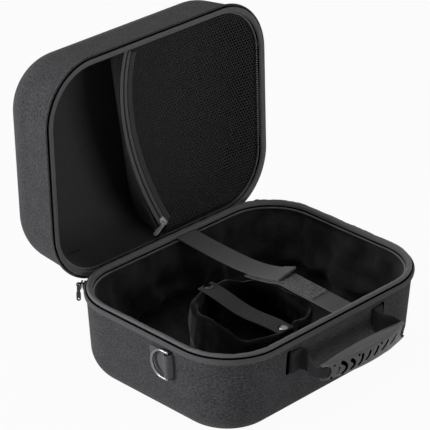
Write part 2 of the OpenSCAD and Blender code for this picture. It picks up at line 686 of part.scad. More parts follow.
base_shell();
base_lining();
base_zip_tape();
base_zip_coil();
hinge_strip();
lid_shell();
lid_lining();
lid_zip_tape();
lid_zip_coil();
handle_grip();
handle_webbing_left();
handle_webbing_right();
ring_tab_left();
ring_tab_right();
d_ring_left();
d_ring_right();
hook_strap();
hook_patch();
loop_strap();
loop_patch();
pouch();
pouch_strap();
pouch_rivet_back();
pouch_rivet_front();
pocket_net();
pocket_binding();
pocket_zip_tapes();
pocket_zip_coil();
pocket_wall();
pocket_slider();
pocket_pull();
zip_slider_left();
zip_slider_right();
zip_pull_left();
zip_pull_right();
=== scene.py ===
"""Travel case for a virtual reality headset, open on its hinge: its shells, linings, zips, straps and metal."""
import json
import math

import bmesh
import bpy
import numpy as np
from mathutils import Matrix, Vector


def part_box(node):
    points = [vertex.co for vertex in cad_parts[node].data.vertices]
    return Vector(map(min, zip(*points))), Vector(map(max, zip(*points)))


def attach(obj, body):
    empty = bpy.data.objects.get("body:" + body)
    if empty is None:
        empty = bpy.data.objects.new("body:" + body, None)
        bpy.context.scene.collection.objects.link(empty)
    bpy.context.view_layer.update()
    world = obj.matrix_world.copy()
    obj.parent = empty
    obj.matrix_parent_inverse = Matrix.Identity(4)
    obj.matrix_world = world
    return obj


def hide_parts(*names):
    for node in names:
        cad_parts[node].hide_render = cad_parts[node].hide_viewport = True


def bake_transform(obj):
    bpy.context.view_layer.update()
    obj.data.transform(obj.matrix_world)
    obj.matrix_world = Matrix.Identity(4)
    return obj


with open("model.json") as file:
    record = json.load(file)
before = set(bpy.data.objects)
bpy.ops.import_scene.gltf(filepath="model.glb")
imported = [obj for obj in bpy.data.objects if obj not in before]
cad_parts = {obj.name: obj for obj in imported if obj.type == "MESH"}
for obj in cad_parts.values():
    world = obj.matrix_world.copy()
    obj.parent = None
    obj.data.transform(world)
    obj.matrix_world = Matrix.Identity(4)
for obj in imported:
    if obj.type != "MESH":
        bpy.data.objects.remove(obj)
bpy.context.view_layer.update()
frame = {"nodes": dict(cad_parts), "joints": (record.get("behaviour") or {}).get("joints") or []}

bl_info = {
    "name": "Headset case",
    "version": (1, 0, 0),
    "blender": (4, 5, 0),
    "location": "3D View > Sidebar > Case",
    "description": "Builds the cloth, webbing, zips and metal of an open headset case round its construction",
    "category": "Add Mesh",
}


# Sizes that come from the construction, in millimetres

def box_mm(node):
    """Lowest and highest corner of a construction node, in millimetres."""
    return [np.array(corner) * 1000 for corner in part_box(node)]


def joint(name):
    """The construction's joint of that name."""
    return next(j for j in frame["joints"] if j["name"] == name)


HALF_W, HALF_D, BASE_H = box_mm("base_shell")[1]
RIM_TOP = box_mm("base_zip_tape")[1][2]
CORNER_R = 62.0
HINGE_Y, HINGE_Z = (v * 1000 for v in joint("lid_hinge")["pos_m"][1:])
OPEN_ANGLE = math.radians(joint("lid_hinge")["range_deg"][1])
SHUT_Z = RIM_TOP + 1.0
LID_H = 79.5
LID_RISE = 1.6
LID_DEPTH = LID_H + LID_RISE
BEAD_OVER = 2.2
SHELL_T = 3.5
LINING_T = 2.0
TAPE_W = 9.0
TAPE_LEG = 2.5
BASE_DRAFT, LID_DRAFT = 6.0, 8.0
BASE_EDGE_R, LID_EDGE_R = 32.0, 45.0
BASE_BEAD, LID_BEAD = 7.0, 4.2
SPINE_T, WALL_T = 0.0009, 0.0008
LINING_IN = BEAD_OVER + SHELL_T + 0.1
LINING_FACE = LINING_IN + LINING_T
LINING_LOW = LINING_FACE - BEAD_OVER
LINING_BACK = 1.6
FLOOR_IN = 61.0
SIDES = ((-1, "left"), (1, "right"))


class CaseSettings(bpy.types.PropertyGroup):
    """Sizes and colours that a maker would change."""
    tape_pucker: bpy.props.FloatProperty(
        name="Tape pucker", description="How far the sewn zip tape puckers", default=0.00025, unit="LENGTH")
    velvet_fold: bpy.props.FloatProperty(
        name="Velvet folds", description="Height of the soft folds in the base's lining", default=0.0046,
        unit="LENGTH")
    tooth_pitch: bpy.props.FloatProperty(
        name="Tooth pitch", description="Distance between the main zip's turns", default=0.0025, unit="LENGTH")
    net_pitch: bpy.props.FloatProperty(
        name="Net pitch", description="Distance between the net's openings", default=0.0036, unit="LENGTH")
    shell_colour: bpy.props.StringProperty(
        name="Shell", description="Colour of the shells' woven face", default="#454547")
    velvet_colour: bpy.props.StringProperty(
        name="Velvet", description="Colour of the base's lining and the pouch", default="#29292b")
    knit_colour: bpy.props.StringProperty(
        name="Knit", description="Colour of the lid's lining", default="#4c4c4e")
    webbing_colour: bpy.props.StringProperty(
        name="Webbing", description="Colour of straps and tabs", default="#646466")


# Meshes: everything is worked out in millimetres and saved in metres

def put(name, data):
    """A new object in the scene."""
    thing = bpy.data.objects.new(name, data)
    bpy.context.scene.collection.objects.link(thing)
    return thing


def save(name, points, faces, uv=None):
    """Saves points (n x 3, mm) and faces as an object at the origin. uv holds one pair in metres per face corner.
    Points that coincide, as at poles, are merged and the normals are turned outwards."""
    mesh = bpy.data.meshes.new(name)
    mesh.from_pydata((np.asarray(points, float).reshape(-1, 3) / 1000).tolist(), [], faces)
    if uv is not None:
        layer = mesh.uv_layers.new(name="length")
        layer.data.foreach_set("uv", np.asarray(uv, np.float32).ravel())
    bm = bmesh.new()
    bm.from_mesh(mesh)
    bmesh.ops.remove_doubles(bm, verts=bm.verts, dist=2e-6)
    bmesh.ops.recalc_face_normals(bm, faces=bm.faces)
    bm.to_mesh(mesh)
    bm.free()
    mesh.polygons.foreach_set("use_smooth", np.ones(len(mesh.polygons), bool))
    return put(name, mesh)


def points_of(piece):
    """A piece's mesh points, in metres."""
    co = np.empty(len(piece.data.vertices) * 3, np.float32)
    piece.data.vertices.foreach_get("co", co)
    return co.reshape(-1, 3)


def thicken(piece, by):
    """Gives a sheet its thickness, half to each side."""
    solid = piece.modifiers.new("thickness", "SOLIDIFY")
    solid.thickness, solid.offset = by, 0


def unit(vectors):
    """Vectors made one long."""
    return vectors / np.linalg.norm(vectors, axis=-1, keepdims=True)


def left_of(ways):
    """Plane ways turned a quarter to the left."""
    return np.stack([-ways[:, 1], ways[:, 0]], 1)


def angles(count):
    """Angles spaced evenly round a circle."""
    return np.linspace(0, 2 * math.pi, count, endpoint=False)


def run_along(line):
    """Length run to each point of a line."""
    return np.concatenate([[0], np.cumsum(np.linalg.norm(np.diff(line, axis=0), axis=1))])


def points_at(line, run, at):
    """Points of a line at given lengths; run is the length to each of its own points."""
    return np.stack([np.interp(at, run, column) for column in line.T], 1)


def grid_faces(rows, cols, wrap_rows=False, wrap_cols=False):
    """Quads between neighbouring points of a rows x cols grid, and the unwrapped grid place of each corner."""
    r = np.arange(rows if wrap_rows else rows - 1)
    c = np.arange(cols if wrap_cols else cols - 1)
    rr, cc = np.meshgrid(r, c, indexing="ij")
    rr, cc = rr.ravel(), cc.ravel()
    corner_r = np.stack([rr, rr, rr + 1, rr + 1], 1)
    corner_c = np.stack([cc, cc + 1, cc + 1, cc], 1)
    return (corner_r % rows) * cols + corner_c % cols, corner_r, corner_c


def spans(points, axis, wrap):
    """Length run along one direction of a grid of points, averaged over the other, in metres."""
    step = np.linalg.norm(np.diff(points, axis=axis), axis=2).mean(axis=1 - axis)
    if wrap:
        step = np.append(step, np.linalg.norm(points.take(0, axis) - points.take(-1, axis), axis=1).mean())
    return np.concatenate([[0], np.cumsum(step)]) / 1000


def surface(name, points, around=False, closed=False):
    """A grid of points (rows x cols x 3, mm) as a surface with its real lengths as UV. around joins the last
    column to the first, closed joins the last row to the first."""
    rows, cols = points.shape[:2]
    faces, corner_r, corner_c = grid_faces(rows, cols, closed, around)
    along, up = spans(points, 1, around), spans(points, 0, closed)
    uv = np.stack([along[corner_c], up[corner_r]], 2)
    return save(name, points, faces.tolist(), uv)


def arc(centre, r, start, end, count):
    """Points on a circle's arc between two angles in degrees."""
    a = np.radians(np.linspace(start, end, count))
    return np.stack([centre[0] + r * np.cos(a), centre[1] + r * np.sin(a)], 1)


def rounded(corners, spacing=2.0):
    """A polygon line whose corners (s, z, radius) are rounded: each corner is replaced by the arc that touches both
    of its sides, and straight stretches are divided at the spacing."""
    pts = np.array([c[:2] for c in corners], float)
    out = [pts[0]]
    for i in range(1, len(pts) - 1):
        a, b, c, r = pts[i - 1], pts[i], pts[i + 1], corners[i][2]
        u, v = unit(a - b), unit(c - b)
        half = math.acos(float(np.clip(u @ v, -1, 1))) / 2
        if r <= 0 or half > math.pi / 2 - 0.01:
            out.append(b)
            continue
        share_a, share_c = (0.98 if i == 1 else 0.49), (0.98 if i == len(pts) - 2 else 0.49)
        reach = min(r / math.tan(half), share_a * np.linalg.norm(a - b), share_c * np.linalg.norm(c - b))
        r = reach * math.tan(half)
        middle = b + unit(u + v) * r / math.sin(half)
        p, q = b + u * reach - middle, b + v * reach - middle
        turn = math.pi - 2 * half
        t = np.linspace(0, 1, max(3, int(r * turn / spacing) + 3))[:, None]
        out.extend(middle + (np.sin((1 - t) * turn) * p + np.sin(t * turn) * q) / math.sin(turn))
    out.append(pts[-1])
    line = [out[0]]
    for p in out[1:]:
        n = max(1, int(np.ceil(np.linalg.norm(p - line[-1]) / spacing)))
        line.extend(line[-1] + (p - line[-1]) * k / n for k in range(1, n + 1))
    return np.array(line)


def even(line, count):
    """Points spaced evenly along a line of points."""
    run = run_along(line)
    return points_at(line, run, np.linspace(0, run[-1], count))


def rim(w=None, d=None, r=CORNER_R, spacing=3.0):
    """The rounded outline seen from above: points, outward normals and the length run to each, anticlockwise from
    the right-hand side's front end. Each corner is a quarter circle about its own centre."""
    w, d = w or 2 * HALF_W, d or 2 * HALF_D
    points, normals = [], []
    for q in range(4):
        side = (d if q % 2 == 0 else w) - 2 * r
        reach = (w if q % 2 == 0 else d) / 2
        turn = math.radians(90 * q)
        n, t = np.array([math.cos(turn), math.sin(turn)]), np.array([-math.sin(turn), math.cos(turn)])
        k = max(2, round(side / spacing))
        along = np.linspace(-side / 2, side / 2, k, endpoint=False)[:, None]
        points.append(n * reach + t * along)
        normals.append(np.tile(n, (k, 1)))
        k = max(6, round(r * math.pi / 2 / spacing))
        a = turn + np.linspace(0, math.pi / 2, k, endpoint=False)
        out = np.stack([np.cos(a), np.sin(a)], 1)
        points.append(n * (reach - r) + t * side / 2 + out * r)
        normals.append(out)
    points, normals = np.concatenate(points), np.concatenate(normals)
    return points, normals, run_along(points)


def swept(profile, path, lift=None):
    """Carries a profile of (inset, height) round a path: each point is the path's point less the inset along its
    normal, at that height. lift moves every point along the profile's own normal."""
    points, normals = path[:2]
    s, z = profile[:, 0][:, None, None], profile[:, 1]
    grid = np.empty((len(profile), len(points), 3))
    grid[:, :, :2] = points[None] - s * normals[None]
    grid[:, :, 2] = z[:, None]
    if lift is not None:
        tangent = np.gradient(profile, axis=0)
        tangent /= np.linalg.norm(tangent, axis=1)[:, None] + 1e-9
        grid[:, :, :2] -= (tangent[:, 1][:, None] * lift)[:, :, None] * normals[None]
        grid[:, :, 2] -= tangent[:, 0][:, None] * lift
    return grid


def with_floor(grid, rings=8):
    """Adds rings that shrink the last row flat to its middle, so that the surface closes over its floor."""
    last = grid[-1]
    middle = last.mean(axis=0)
    shrink = np.linspace(1, 0, rings + 1)[1:, None, None]
    return np.concatenate([grid, middle + (last - middle)[None] * shrink])


def waves(points, size, seed, count=7):
    """Smooth uneven height over points (mm), about -1 to 1: a sum of sines in random directions whose wavelengths
    lie round the given size."""
    rng = np.random.default_rng(seed)
    total = np.zeros(points.shape[:-1])
    for _ in range(count):
        way = unit(rng.normal(size=3))
        total += np.sin(points @ way * 2 * math.pi / (size * rng.uniform(0.6, 1.6)) + rng.uniform(0, 2 * math.pi))
    return total / math.sqrt(count)


def open_lid(points):
    """Turns points drawn for the shut lid, whose third number is the depth behind its rim plane, into the open
    pose: a turn about the hinge by the opening angle."""
    y, z = points[..., 1] - HINGE_Y, SHUT_Z + points[..., 2] - HINGE_Z
    c, s = math.cos(OPEN_ANGLE), math.sin(OPEN_ANGLE)
    return np.stack([points[..., 0], HINGE_Y + y * c + z * s, HINGE_Z - y * s + z * c], -1)


def frames(line):
    """Unit tangents along a line of points."""
    return unit(np.gradient(line, axis=0))


def ribbon(line, across, width, thick, edge=0.45, rows=9):
    """A flat strap: a rounded slab section carried along a line. across is the unit way of its width at each point;
    its thickness is at right angles to that and to the line."""
    t = frames(line)
    across = unit(across - (across * t).sum(1)[:, None] * t)
    up = np.cross(t, across)
    r = min(edge, thick / 2)
    half, h = width / 2 - r, thick / 2
    flat = np.linspace(-half, half, rows)
    section = np.concatenate([
        np.stack([flat, np.full(rows, -h)], 1), arc((half, 0), h, -90, 90, 7)[1:-1],
        np.stack([flat[::-1], np.full(rows, h)], 1), arc((-half, 0), h, 90, 270, 7)[1:-1]])
    return line[None] + section[:, 0][:, None, None] * across[None] + section[:, 1][:, None, None] * up[None]


def capped(grid):
    """Closes a tube (around x along) at both ends with a point in the middle of each end."""
    first = np.repeat(grid[:, :1].mean(0, keepdims=True), len(grid), 0)
    last = np.repeat(grid[:, -1:].mean(0, keepdims=True), len(grid), 0)
    return np.concatenate([first, grid, last], 1)


def strap(name, line, across, width, thick, **kw):
    """A closed flat strap along a line."""
    return surface(name, capped(ribbon(line, across, width, thick, **kw)), closed=True)


def cubic(control, t):
    """Points on a cubic curve with four control points."""
    t = np.asarray(t)[:, None]
    a, b, c, d = (np.array(p, float) for p in control)
    return (1 - t) ** 3 * a + 3 * t * (1 - t) ** 2 * b + 3 * t * t * (1 - t) * c + t ** 3 * d


def beside(line, off):
    """A line in the plane at a distance to the left of another."""
    return line + off * left_of(frames(line))


def in_space(plan, side, z):
    """A plan line at one height, on the left (-1) or right (1) side."""
    return np.stack([plan[:, 0] * side, plan[:, 1], np.full(len(plan), z)], 1)


# Materials

def linear(hex_colour):
    """An sRGB hex colour as linear red, green, blue and alpha."""
    parts = [int(hex_colour[i:i + 2], 16) / 255 for i in (1, 3, 5)]
    return [c / 12.92 if c <= 0.04045 else ((c + 0.055) / 1.055) ** 2.4 for c in parts] + [1.0]


def add(tree, kind, inputs=None, **settings):
    """Adds one node with its settings; inputs are values or other nodes' outputs, by name or place."""
    node = tree.nodes.new(kind)
    for key, value in settings.items():
        setattr(node, key, value)
    for key, value in (inputs or {}).items():
        if isinstance(value, bpy.types.NodeSocket):
            tree.links.new(value, node.inputs[key])
        else:
            node.inputs[key].default_value = value
    return node


def fresh_nodes(owner):
    """The emptied node tree of a material or a world."""
    owner.use_nodes = True
    owner.node_tree.nodes.clear()
    return owner.node_tree


def start_material(name, **shader):
    """A new material with one Principled shader whose sockets have the given values."""
    mat = bpy.data.materials.new(name)
    tree = fresh_nodes(mat)
    bsdf = add(tree, "ShaderNodeBsdfPrincipled", {k.replace("_", " "): v for k, v in shader.items()})
    add(tree, "ShaderNodeOutputMaterial", {0: bsdf.outputs[0]})
    return mat, tree, bsdf


def end_material(made, colour, height, strength, distance):
    """Links a colour and a bump of the given height to a material's shader."""
    mat, tree, bsdf = made
    bump = add(tree, "ShaderNodeBump", {"Strength": strength, "Distance": distance, "Height": height})
    tree.links.new(colour, bsdf.inputs["Base Color"])
    tree.links.new(bump.outputs[0], bsdf.inputs["Normal"])
    return mat


def shade(base, amount):
    """A hex colour made lighter or darker by a share."""
    parts = [min(255, max(0, round(int(base[i:i + 2], 16) * (1 + amount)))) for i in (1, 3, 5)]
    return "#" + "".join(f"{p:02x}" for p in parts)


def mixed(tree, factor, first, second):
    """Two colours mixed by a factor."""
    return add(tree, "ShaderNodeMix", {0: factor, 6: first, 7: second}, data_type="RGBA").outputs[2]


def two_tone(tree, factor, colour, darker, lighter):
    """A hex colour made darker by one share and lighter by another, mixed by a factor."""
    return mixed(tree, factor, linear(shade(colour, -darker)), linear(shade(colour, lighter)))


def own_place(tree):
    """The piece's own coordinates, in metres."""
    return add(tree, "ShaderNodeTexCoord").outputs["Object"]


def cloth_place(tree):
    """Lengths run along the cloth, in metres."""
    return add(tree, "ShaderNodeUVMap", uv_map="length").outputs[0]


def bands(tree, vector, spacing, direction):
    """Even ridges at a spacing in metres: a wave texture's period is a tenth of pi over its scale."""
    return add(tree, "ShaderNodeTexWave", {"Vector": vector, "Scale": 0.1 * math.pi / spacing, "Distortion": 0.4,
                                           "Detail": 1.0, "Detail Scale": 2.0},
               bands_direction=direction).outputs["Fac"]


def math_node(tree, operation, a, b):
    """One arithmetic step."""
    return add(tree, "ShaderNodeMath", {0: a, 1: b}, operation=operation).outputs[0]


def noise(tree, vector, size, detail=2.0, roughness=0.5):
    """Noise whose features are about the given size in metres."""
    return add(tree, "ShaderNodeTexNoise", {"Vector": vector, "Scale": 1 / size, "Detail": detail,
                                            "Roughness": roughness}).outputs["Fac"]


def weighed(tree, a, share_a, b, share_b):
    """The sum of two values, each times its share."""
    parts = [v if share == 1 else math_node(tree, "MULTIPLY", v, share) for v, share in ((a, share_a), (b, share_b))]
    return math_node(tree, "ADD", *parts)


def spread(tree, value, low, high):
    """A value stretched so that low becomes nought and high becomes one."""
    return add(tree, "ShaderNodeMapRange", {0: value, 1: low, 2: high, 3: 0.0, 4: 1.0}).outputs[0]


def woven(name, colour, thread, mottle=0.16, relief=0.00012, patch=0.012):
    """Plain-woven polyester: fine crossed threads, uneven yarn that mottles the colour, matt with a faint sheen.
    The thread spacing is drawn about twice the real one so that it shows."""
    made = start_material(name, Roughness=0.9, Sheen_Weight=0.1, Sheen_Roughness=0.5, Specular_IOR_Level=0.08)
    tree = made[1]
    uv = cloth_place(tree)
    weave = math_node(tree, "MULTIPLY", bands(tree, uv, thread, "X"), bands(tree, uv, thread, "Y"))
    yarn = noise(tree, uv, 0.002, 3.0, 0.7)
    uneven = weighed(tree, yarn, 0.85, noise(tree, uv, patch), 0.15)
    cloth = two_tone(tree, spread(tree, uneven, 0.35, 0.65), colour, mottle, mottle)
    # Paler where the bead mark is set: partly stretched cloth, partly a painted highlight on the bead's top
    taut_and_lit = add(tree, "ShaderNodeAttribute", attribute_name="bead_stretch_and_highlight").outputs["Fac"]
    paler = mixed(tree, taut_and_lit, cloth, linear(shade(colour, 0.5)))
    return end_material(made, paler, weighed(tree, weave, 1, yarn, 0.8), 0.5, relief)


def ribbed(name, colour, rib, rough=0.8, sheen=0.1, relief=0.0002, gloss=0.12):
    """Polyester webbing or tape: close ribs across its length, a little glossier than cloth."""
    made = start_material(name, Roughness=rough, Sheen_Weight=sheen, Sheen_Roughness=0.4, Specular_IOR_Level=gloss)
    tree = made[1]
    uv = cloth_place(tree)
    ribs, yarn = bands(tree, uv, rib, "X"), noise(tree, uv, 0.0016, 3.0, 0.7)
    cloth = two_tone(tree, weighed(tree, ribs, 0.4, yarn, 0.6), colour, 0.22, 0.2)
    return end_material(made, cloth, weighed(tree, ribs, 1, yarn, 0.5), 0.6, relief)


def velvet(name, colour):
    """Short-pile velvet: very dark face on, with a soft bright sheen where it turns away, and brushed clouds."""
    made = start_material(name, Roughness=0.95, Sheen_Weight=0.45, Sheen_Roughness=0.4, Specular_IOR_Level=0.04)
    tree = made[1]
    at = own_place(tree)
    brushed, pile = noise(tree, at, 0.028, 3.0, 0.6), noise(tree, at, 0.0011, 2.0, 0.6)
    clouds = spread(tree, weighed(tree, brushed, 0.75, pile, 0.25), 0.3, 0.7)
    return end_material(made, two_tone(tree, clouds, colour, 0.45, 0.6), pile, 0.5, 0.00035)


def plated(name, colour, rough, scratch=0.0, metal=1.0):
    """Nickel plate over steel or zinc: bright metal with faint polishing marks. A blasted casting scatters the light
    like paint, so it has a lower metal share."""
    made = start_material(name, Metallic=metal, Roughness=rough)
    tree = made[1]
    marks = noise(tree, own_place(tree), 0.0016, 4.0, 0.7)
    return end_material(made, two_tone(tree, marks, colour, 0.12, 0.08), marks, 0.3 + scratch, 0.00003)


def moulded(name, colour, rough, grain=0.0008, depth=0.00005, gloss=0.25):
    """Moulded elastomer or nylon: an even colour with a fine spark-eroded grain."""
    made = start_material(name, Roughness=rough, Specular_IOR_Level=gloss)
    tree = made[1]
    at = own_place(tree)
    fine, wear = noise(tree, at, grain, 3.0, 0.6), noise(tree, at, 0.015)
    return end_material(made, two_tone(tree, wear, colour, 0.08, 0.1), fine, 0.4, depth)


def fuzzy(name, colour):
    """Napped loop tape: a mat of tiny loops that breaks the light into light and dark grains."""
    made = start_material(name, Roughness=0.95, Sheen_Weight=0.3, Specular_IOR_Level=0.05)
    tree = made[1]
    grain = noise(tree, own_place(tree), 0.0017, 3.0, 0.75)
    return end_material(made, two_tone(tree, spread(tree, grain, 0.36, 0.62), colour, 0.5, 0.35), grain, 0.8, 0.0006)


FINISHES = {}


def finishes(s):
    """Each finish: its maker, its colour and what departs from that maker's usual values."""
    return {
        # Two-tone polyester cloth laminated to moulded foam: matt, speckled charcoal, paler on the beads, partly
        # where it is stretched and partly as a painted highlight on their tops
        "shell_weave": (woven, s.shell_colour, dict(thread=0.0011, mottle=0.34, relief=0.0002)),
        # Plain dark polyester cloth, unlined: matt and even
        "spine_weave": (woven, "#2a2a2c", dict(thread=0.0009)),
        # Short-pile velvet over foam: black face on, grey where it turns away
        "velvet_pile": (velvet, s.velvet_colour, {}),
        # The same velvet, denser and blacker, so that folds show only as soft greys
        "pouch_pile": (velvet, "#141415", {}),
        # A thinner velvet without foam: as dark, but greyer in its folds
        "pocket_velvet": (velvet, "#3c3c3e", {}),
        # Smooth warp knit stretched over foam: nearly even, with a faint grain
        "lid_knit": (woven, s.knit_colour, dict(thread=0.0009, mottle=0.1, relief=0.0001, patch=0.02)),
        # Polyester net yarn: thin grey bars whose openings read as dark dots
        "net_yarn": (woven, "#444446", dict(thread=0.0007, mottle=0.12)),
        # Woven zip tape of glossy filament: a line of light along its roll
        "zip_twill": (ribbed, "#626264", dict(rib=0.0012, rough=0.55, sheen=0.2, gloss=0.25)),
        # Grey nylon coil: a small soft highlight on each turn
        "zip_nylon": (moulded, "#8c8c8e", dict(rough=0.5)),
        # Painted shade: black bands in the crease behind the bead and under the tape's edge above the coil, where no
        # light comes back
        "crease_shade_black": (moulded, "#060606", dict(rough=0.9, gloss=0.0)),
        # Dyed nylon coil of the pocket: dark, with a soft gloss
        "dark_nylon": (moulded, "#161617", dict(rough=0.5)),
        # Ribbed binding tape folded over the net: a slightly paler line
        "binding_rib": (ribbed, "#4c4c4e", dict(rib=0.0014, relief=0.0004)),
        # Polyester webbing with ribs across: mid grey with a soft gloss
        "webbing_rib": (ribbed, s.webbing_colour, dict(rib=0.0012)),
        # Heavier, darker webbing that carries the grip: dull, with coarse ribs
        "carry_webbing": (ribbed, "#333335", dict(rib=0.0012)),
        # Woven elastic: close fine ribs, dull
        "elastic_rib": (ribbed, "#404042", dict(rib=0.0009)),
        # Moulded nylon hook tape: black and rough, with a pointed sparkle
        "hook_nylon": (moulded, "#1b1b1c", dict(rough=0.6, grain=0.0012, depth=0.0006)),
        # Napped loop tape: a fuzzy, grainy grey
        "loop_pile": (fuzzy, "#626264", {}),
        # Moulded rubber with a fine grain: dark, with broad soft highlights
        "grip_rubber": (moulded, "#3a3a3c", dict(rough=0.35, gloss=0.55)),
        # Painted shade for the depth of a slot or slit: black, without gloss
        "hole_shade_black": (moulded, "#020202", dict(rough=1.0, gloss=0.0)),
        # Polished nickel-plated steel wire: mirrors the room in thin bright lines
        "nickel_wire": (plated, "#7c7c80", dict(rough=0.2)),
        # Black nickel plate on cast zinc: dark mirror
        "black_nickel": (plated, "#3a3a3d", dict(rough=0.25)),
        # Blasted, plated zinc casting: scatters light like pale paint
        "zinc_plate": (plated, "#d2d2d6", dict(rough=0.4, scratch=0.2, metal=0.35)),
    }


def finish(name):
    """The material of that name, made once."""
    if name not in FINISHES:
        maker, colour, departures = finishes(bpy.context.scene.case_settings)[name]
        FINISHES[name] = maker(name, colour, **departures)
    return FINISHES[name]


def dress(piece, body, material, slot, *nodes):
    """Gives a piece its finish and its body, and hides the construction nodes that it stands for. slot is not used.
    """
    piece.data.materials.clear()
    piece.data.materials.append(finish(material))
    if body:
        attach(piece, body)
    if nodes:
        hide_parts(*nodes)
    return piece


def repaint(material, *nodes):
    """Gives construction nodes, whose shape is kept, a finish."""
    for name in nodes:
        node = frame["nodes"][name]
        node.data.materials.clear()
        node.data.materials.append(finish(material))


# Shells, linings and zips

def wall_in(z, height, draft):
    """Inset of a half's outer wall at a height from its outer face."""
    return BEAD_OVER + draft * (1 - z / height)


def shell_profile(height, edge_r, draft, bead, flip):
    """Outer face from the flat out to the rim and back down the inner face. flip turns heights into depths."""
    crease = 0.5
    outside = [(FLOOR_IN, 0, 0), (wall_in(0, height, draft), 0, edge_r),
               (wall_in(height - bead - 1.2, height, draft), height - bead - 1.2, 1.2),
               (BEAD_OVER + crease, height - bead, 0.6), (0.5, height - bead + 1.1, 1.3),
               (0.0, height - bead * 0.45, 2.0), (0.25, height - 0.9, 1.1), (1.3, height - 0.1, 0.8),
               (2.2, height - 1.4, 0.5), (2.5, height - 3.2, 0.5)]
    inside = [(BEAD_OVER + SHELL_T, height - 3.2, 0.5),
              (wall_in(0, height, draft) + SHELL_T, SHELL_T, edge_r - SHELL_T), (FLOOR_IN, SHELL_T, 0)]
    line = rounded(outside + inside, 1.6)
    return np.stack([line[:, 0], flip - line[:, 1]], 1) if flip else line


def closed_shell(profile, path):
    """A swept profile closed over its floor at both ends."""
    return with_floor(with_floor(swept(profile, path))[::-1])


def bead_stretch_and_highlight(piece, axis, at, reach):
    """Marks the band over a bead that the shell finish paints paler, partly for the stretched cloth and partly as a
    painted highlight on the bead's top: a share that falls off evenly on both sides of a height.
    """
    share = 0.7 * np.clip(1.4 - np.abs(points_of(piece)[:, axis] * 1000 - at) / reach, 0, 1)
    piece.data.attributes.new("bead_stretch_and_highlight", "FLOAT", "POINT").data.foreach_set("value", share.astype(np.float32))
    return piece


class CASE_OT_shells(bpy.types.Operator):
    """Moulded base and lid with their beads"""
    bl_idname = "case.shells"
    bl_label = "Shells"

    def execute(self, context):
        path = rim()
        base = closed_shell(shell_profile(BASE_H, BASE_EDGE_R, BASE_DRAFT, BASE_BEAD, 0), path)
        lid = open_lid(closed_shell(shell_profile(LID_H, LID_EDGE_R, LID_DRAFT, LID_BEAD, LID_DEPTH), path))
        for name, grid, axis, at, reach in (("base", base, 2, BASE_H - 3, 4.0), ("lid", lid, 1, HALF_D + 3.5, 2.2)):
            # The beads' band is painted paler: stretched cloth and a painted highlight
            piece = bead_stretch_and_highlight(surface(f"{name}_cover", grid, around=True), axis, at, reach)
            dress(piece, name, "shell_weave", "shell_cloth", f"{name}_shell")
        return {"FINISHED"}


def lining_lines(height, draft, edge_r, spacing):
    """A lining's face from its rim to the floor and its back from the floor to the rim, as (inset, height)."""
    side, inner_r, top = wall_in(0, height, draft) + LINING_LOW, edge_r - LINING_LOW, height - TAPE_LEG + 1
    face = rounded([(LINING_FACE + 0.25, top, 0), (side, LINING_LOW, inner_r), (FLOOR_IN, LINING_LOW, 0)], spacing)
    under = LINING_LOW - LINING_BACK
    back = rounded([(FLOOR_IN, under, 0), (side - LINING_BACK, under, inner_r + LINING_BACK),
                    (LINING_FACE - 1.4, top, 0)], 4.0)
    return face, back


def closed_lining(face, back, path, lift):
    """A lining's lifted face and its back, closed over the floor."""
    face_grid = with_floor(swept(face, path, lift))[::-1]
    return with_floor(np.concatenate([face_grid, swept(back[::-1], path)]))


ROLL_Z, ROLL_REACH = 36, 9
PINCH_Z, PINCH_REACH = 52, 5
FOLD_LOW, FOLD_HIGH = -0.2, 6.5


class CASE_OT_linings(bpy.types.Operator):
    """Velvet lining of the base, with its soft folds, and knit lining of the lid"""
    bl_idname = "case.linings"
    bl_label = "Linings"

    def execute(self, context):
        fold = context.scene.case_settings.velvet_fold * 1000
        path = rim(spacing=3.2)
        face, back = lining_lines(BASE_H, BASE_DRAFT, BASE_EDGE_R, 2.0)
        flat = swept(face, path)
        z = face[:, 1][:, None]
        # Two sizes of waves, a roll along the wall and a pinch above it, each a bell curve over the height. They
        # fade towards the rim and the floor.
        soft = waves(flat, 70, 3) * 0.5 + waves(flat, 30, 5) * 0.42
        sag = 0.5 + 0.5 * waves(flat * [1, 1, 0.2], 150, 11)
        drift = 5 * waves(flat * [1, 1, 0], 120, 8)
        roll = np.exp(-((z - ROLL_Z - drift) / ROLL_REACH) ** 2) * (0.6 + 0.5 * sag)
        pinch = -np.exp(-((z - PINCH_Z - drift) / PINCH_REACH) ** 2) * 0.35
        edge = np.clip((BASE_H - 6 - z) / 10, 0, 1)
        ground = np.clip((z - LINING_LOW) / 10, 0.25, 1)
        lift = fold * edge * ground * (soft + roll * 1.6 + pinch + 0.35)
        grid = closed_lining(face, back, path, -np.clip(lift, FOLD_LOW, FOLD_HIGH))
        dress(surface("base_velvet", grid, around=True), "base", "velvet_pile", "velvet", "base_lining")

        face, back = lining_lines(LID_H, LID_DRAFT, LID_EDGE_R, 2.2)
        lift = 0.35 * (1 + waves(swept(face, path), 60, 21))
        grid = closed_lining(face, back, path, -lift)
        grid[..., 2] = LID_DEPTH - grid[..., 2]
        dress(surface("lid_knit_lining", open_lid(grid), around=True), "lid", "lid_knit", "knit", "lid_lining")
        return {"FINISHED"}


def tape_profile(height, rise):
    """The rolled zip tape: out of the crease behind the bead, over its hump and down the inner leg."""
    leg_in = LINING_FACE + 0.35
    return rounded([(3.3, height - 2.6, 0), (2.9, height + rise * 0.35, 0.8), (3.5, height + rise * 0.84, 0.9),
                    (4.9, height + rise, 1.6), (6.4, height + rise * 0.9, 1.5),
                    (TAPE_W - 0.9, height + rise * 0.55, 1.0), (TAPE_W, height - 0.5, 0.7),
                    (TAPE_W - 0.6, height - 1.5, 0.4), (TAPE_W - 0.6, height - TAPE_LEG, 0),
                    (leg_in, height - TAPE_LEG, 0)], 0.55)


COIL_R = 1.15


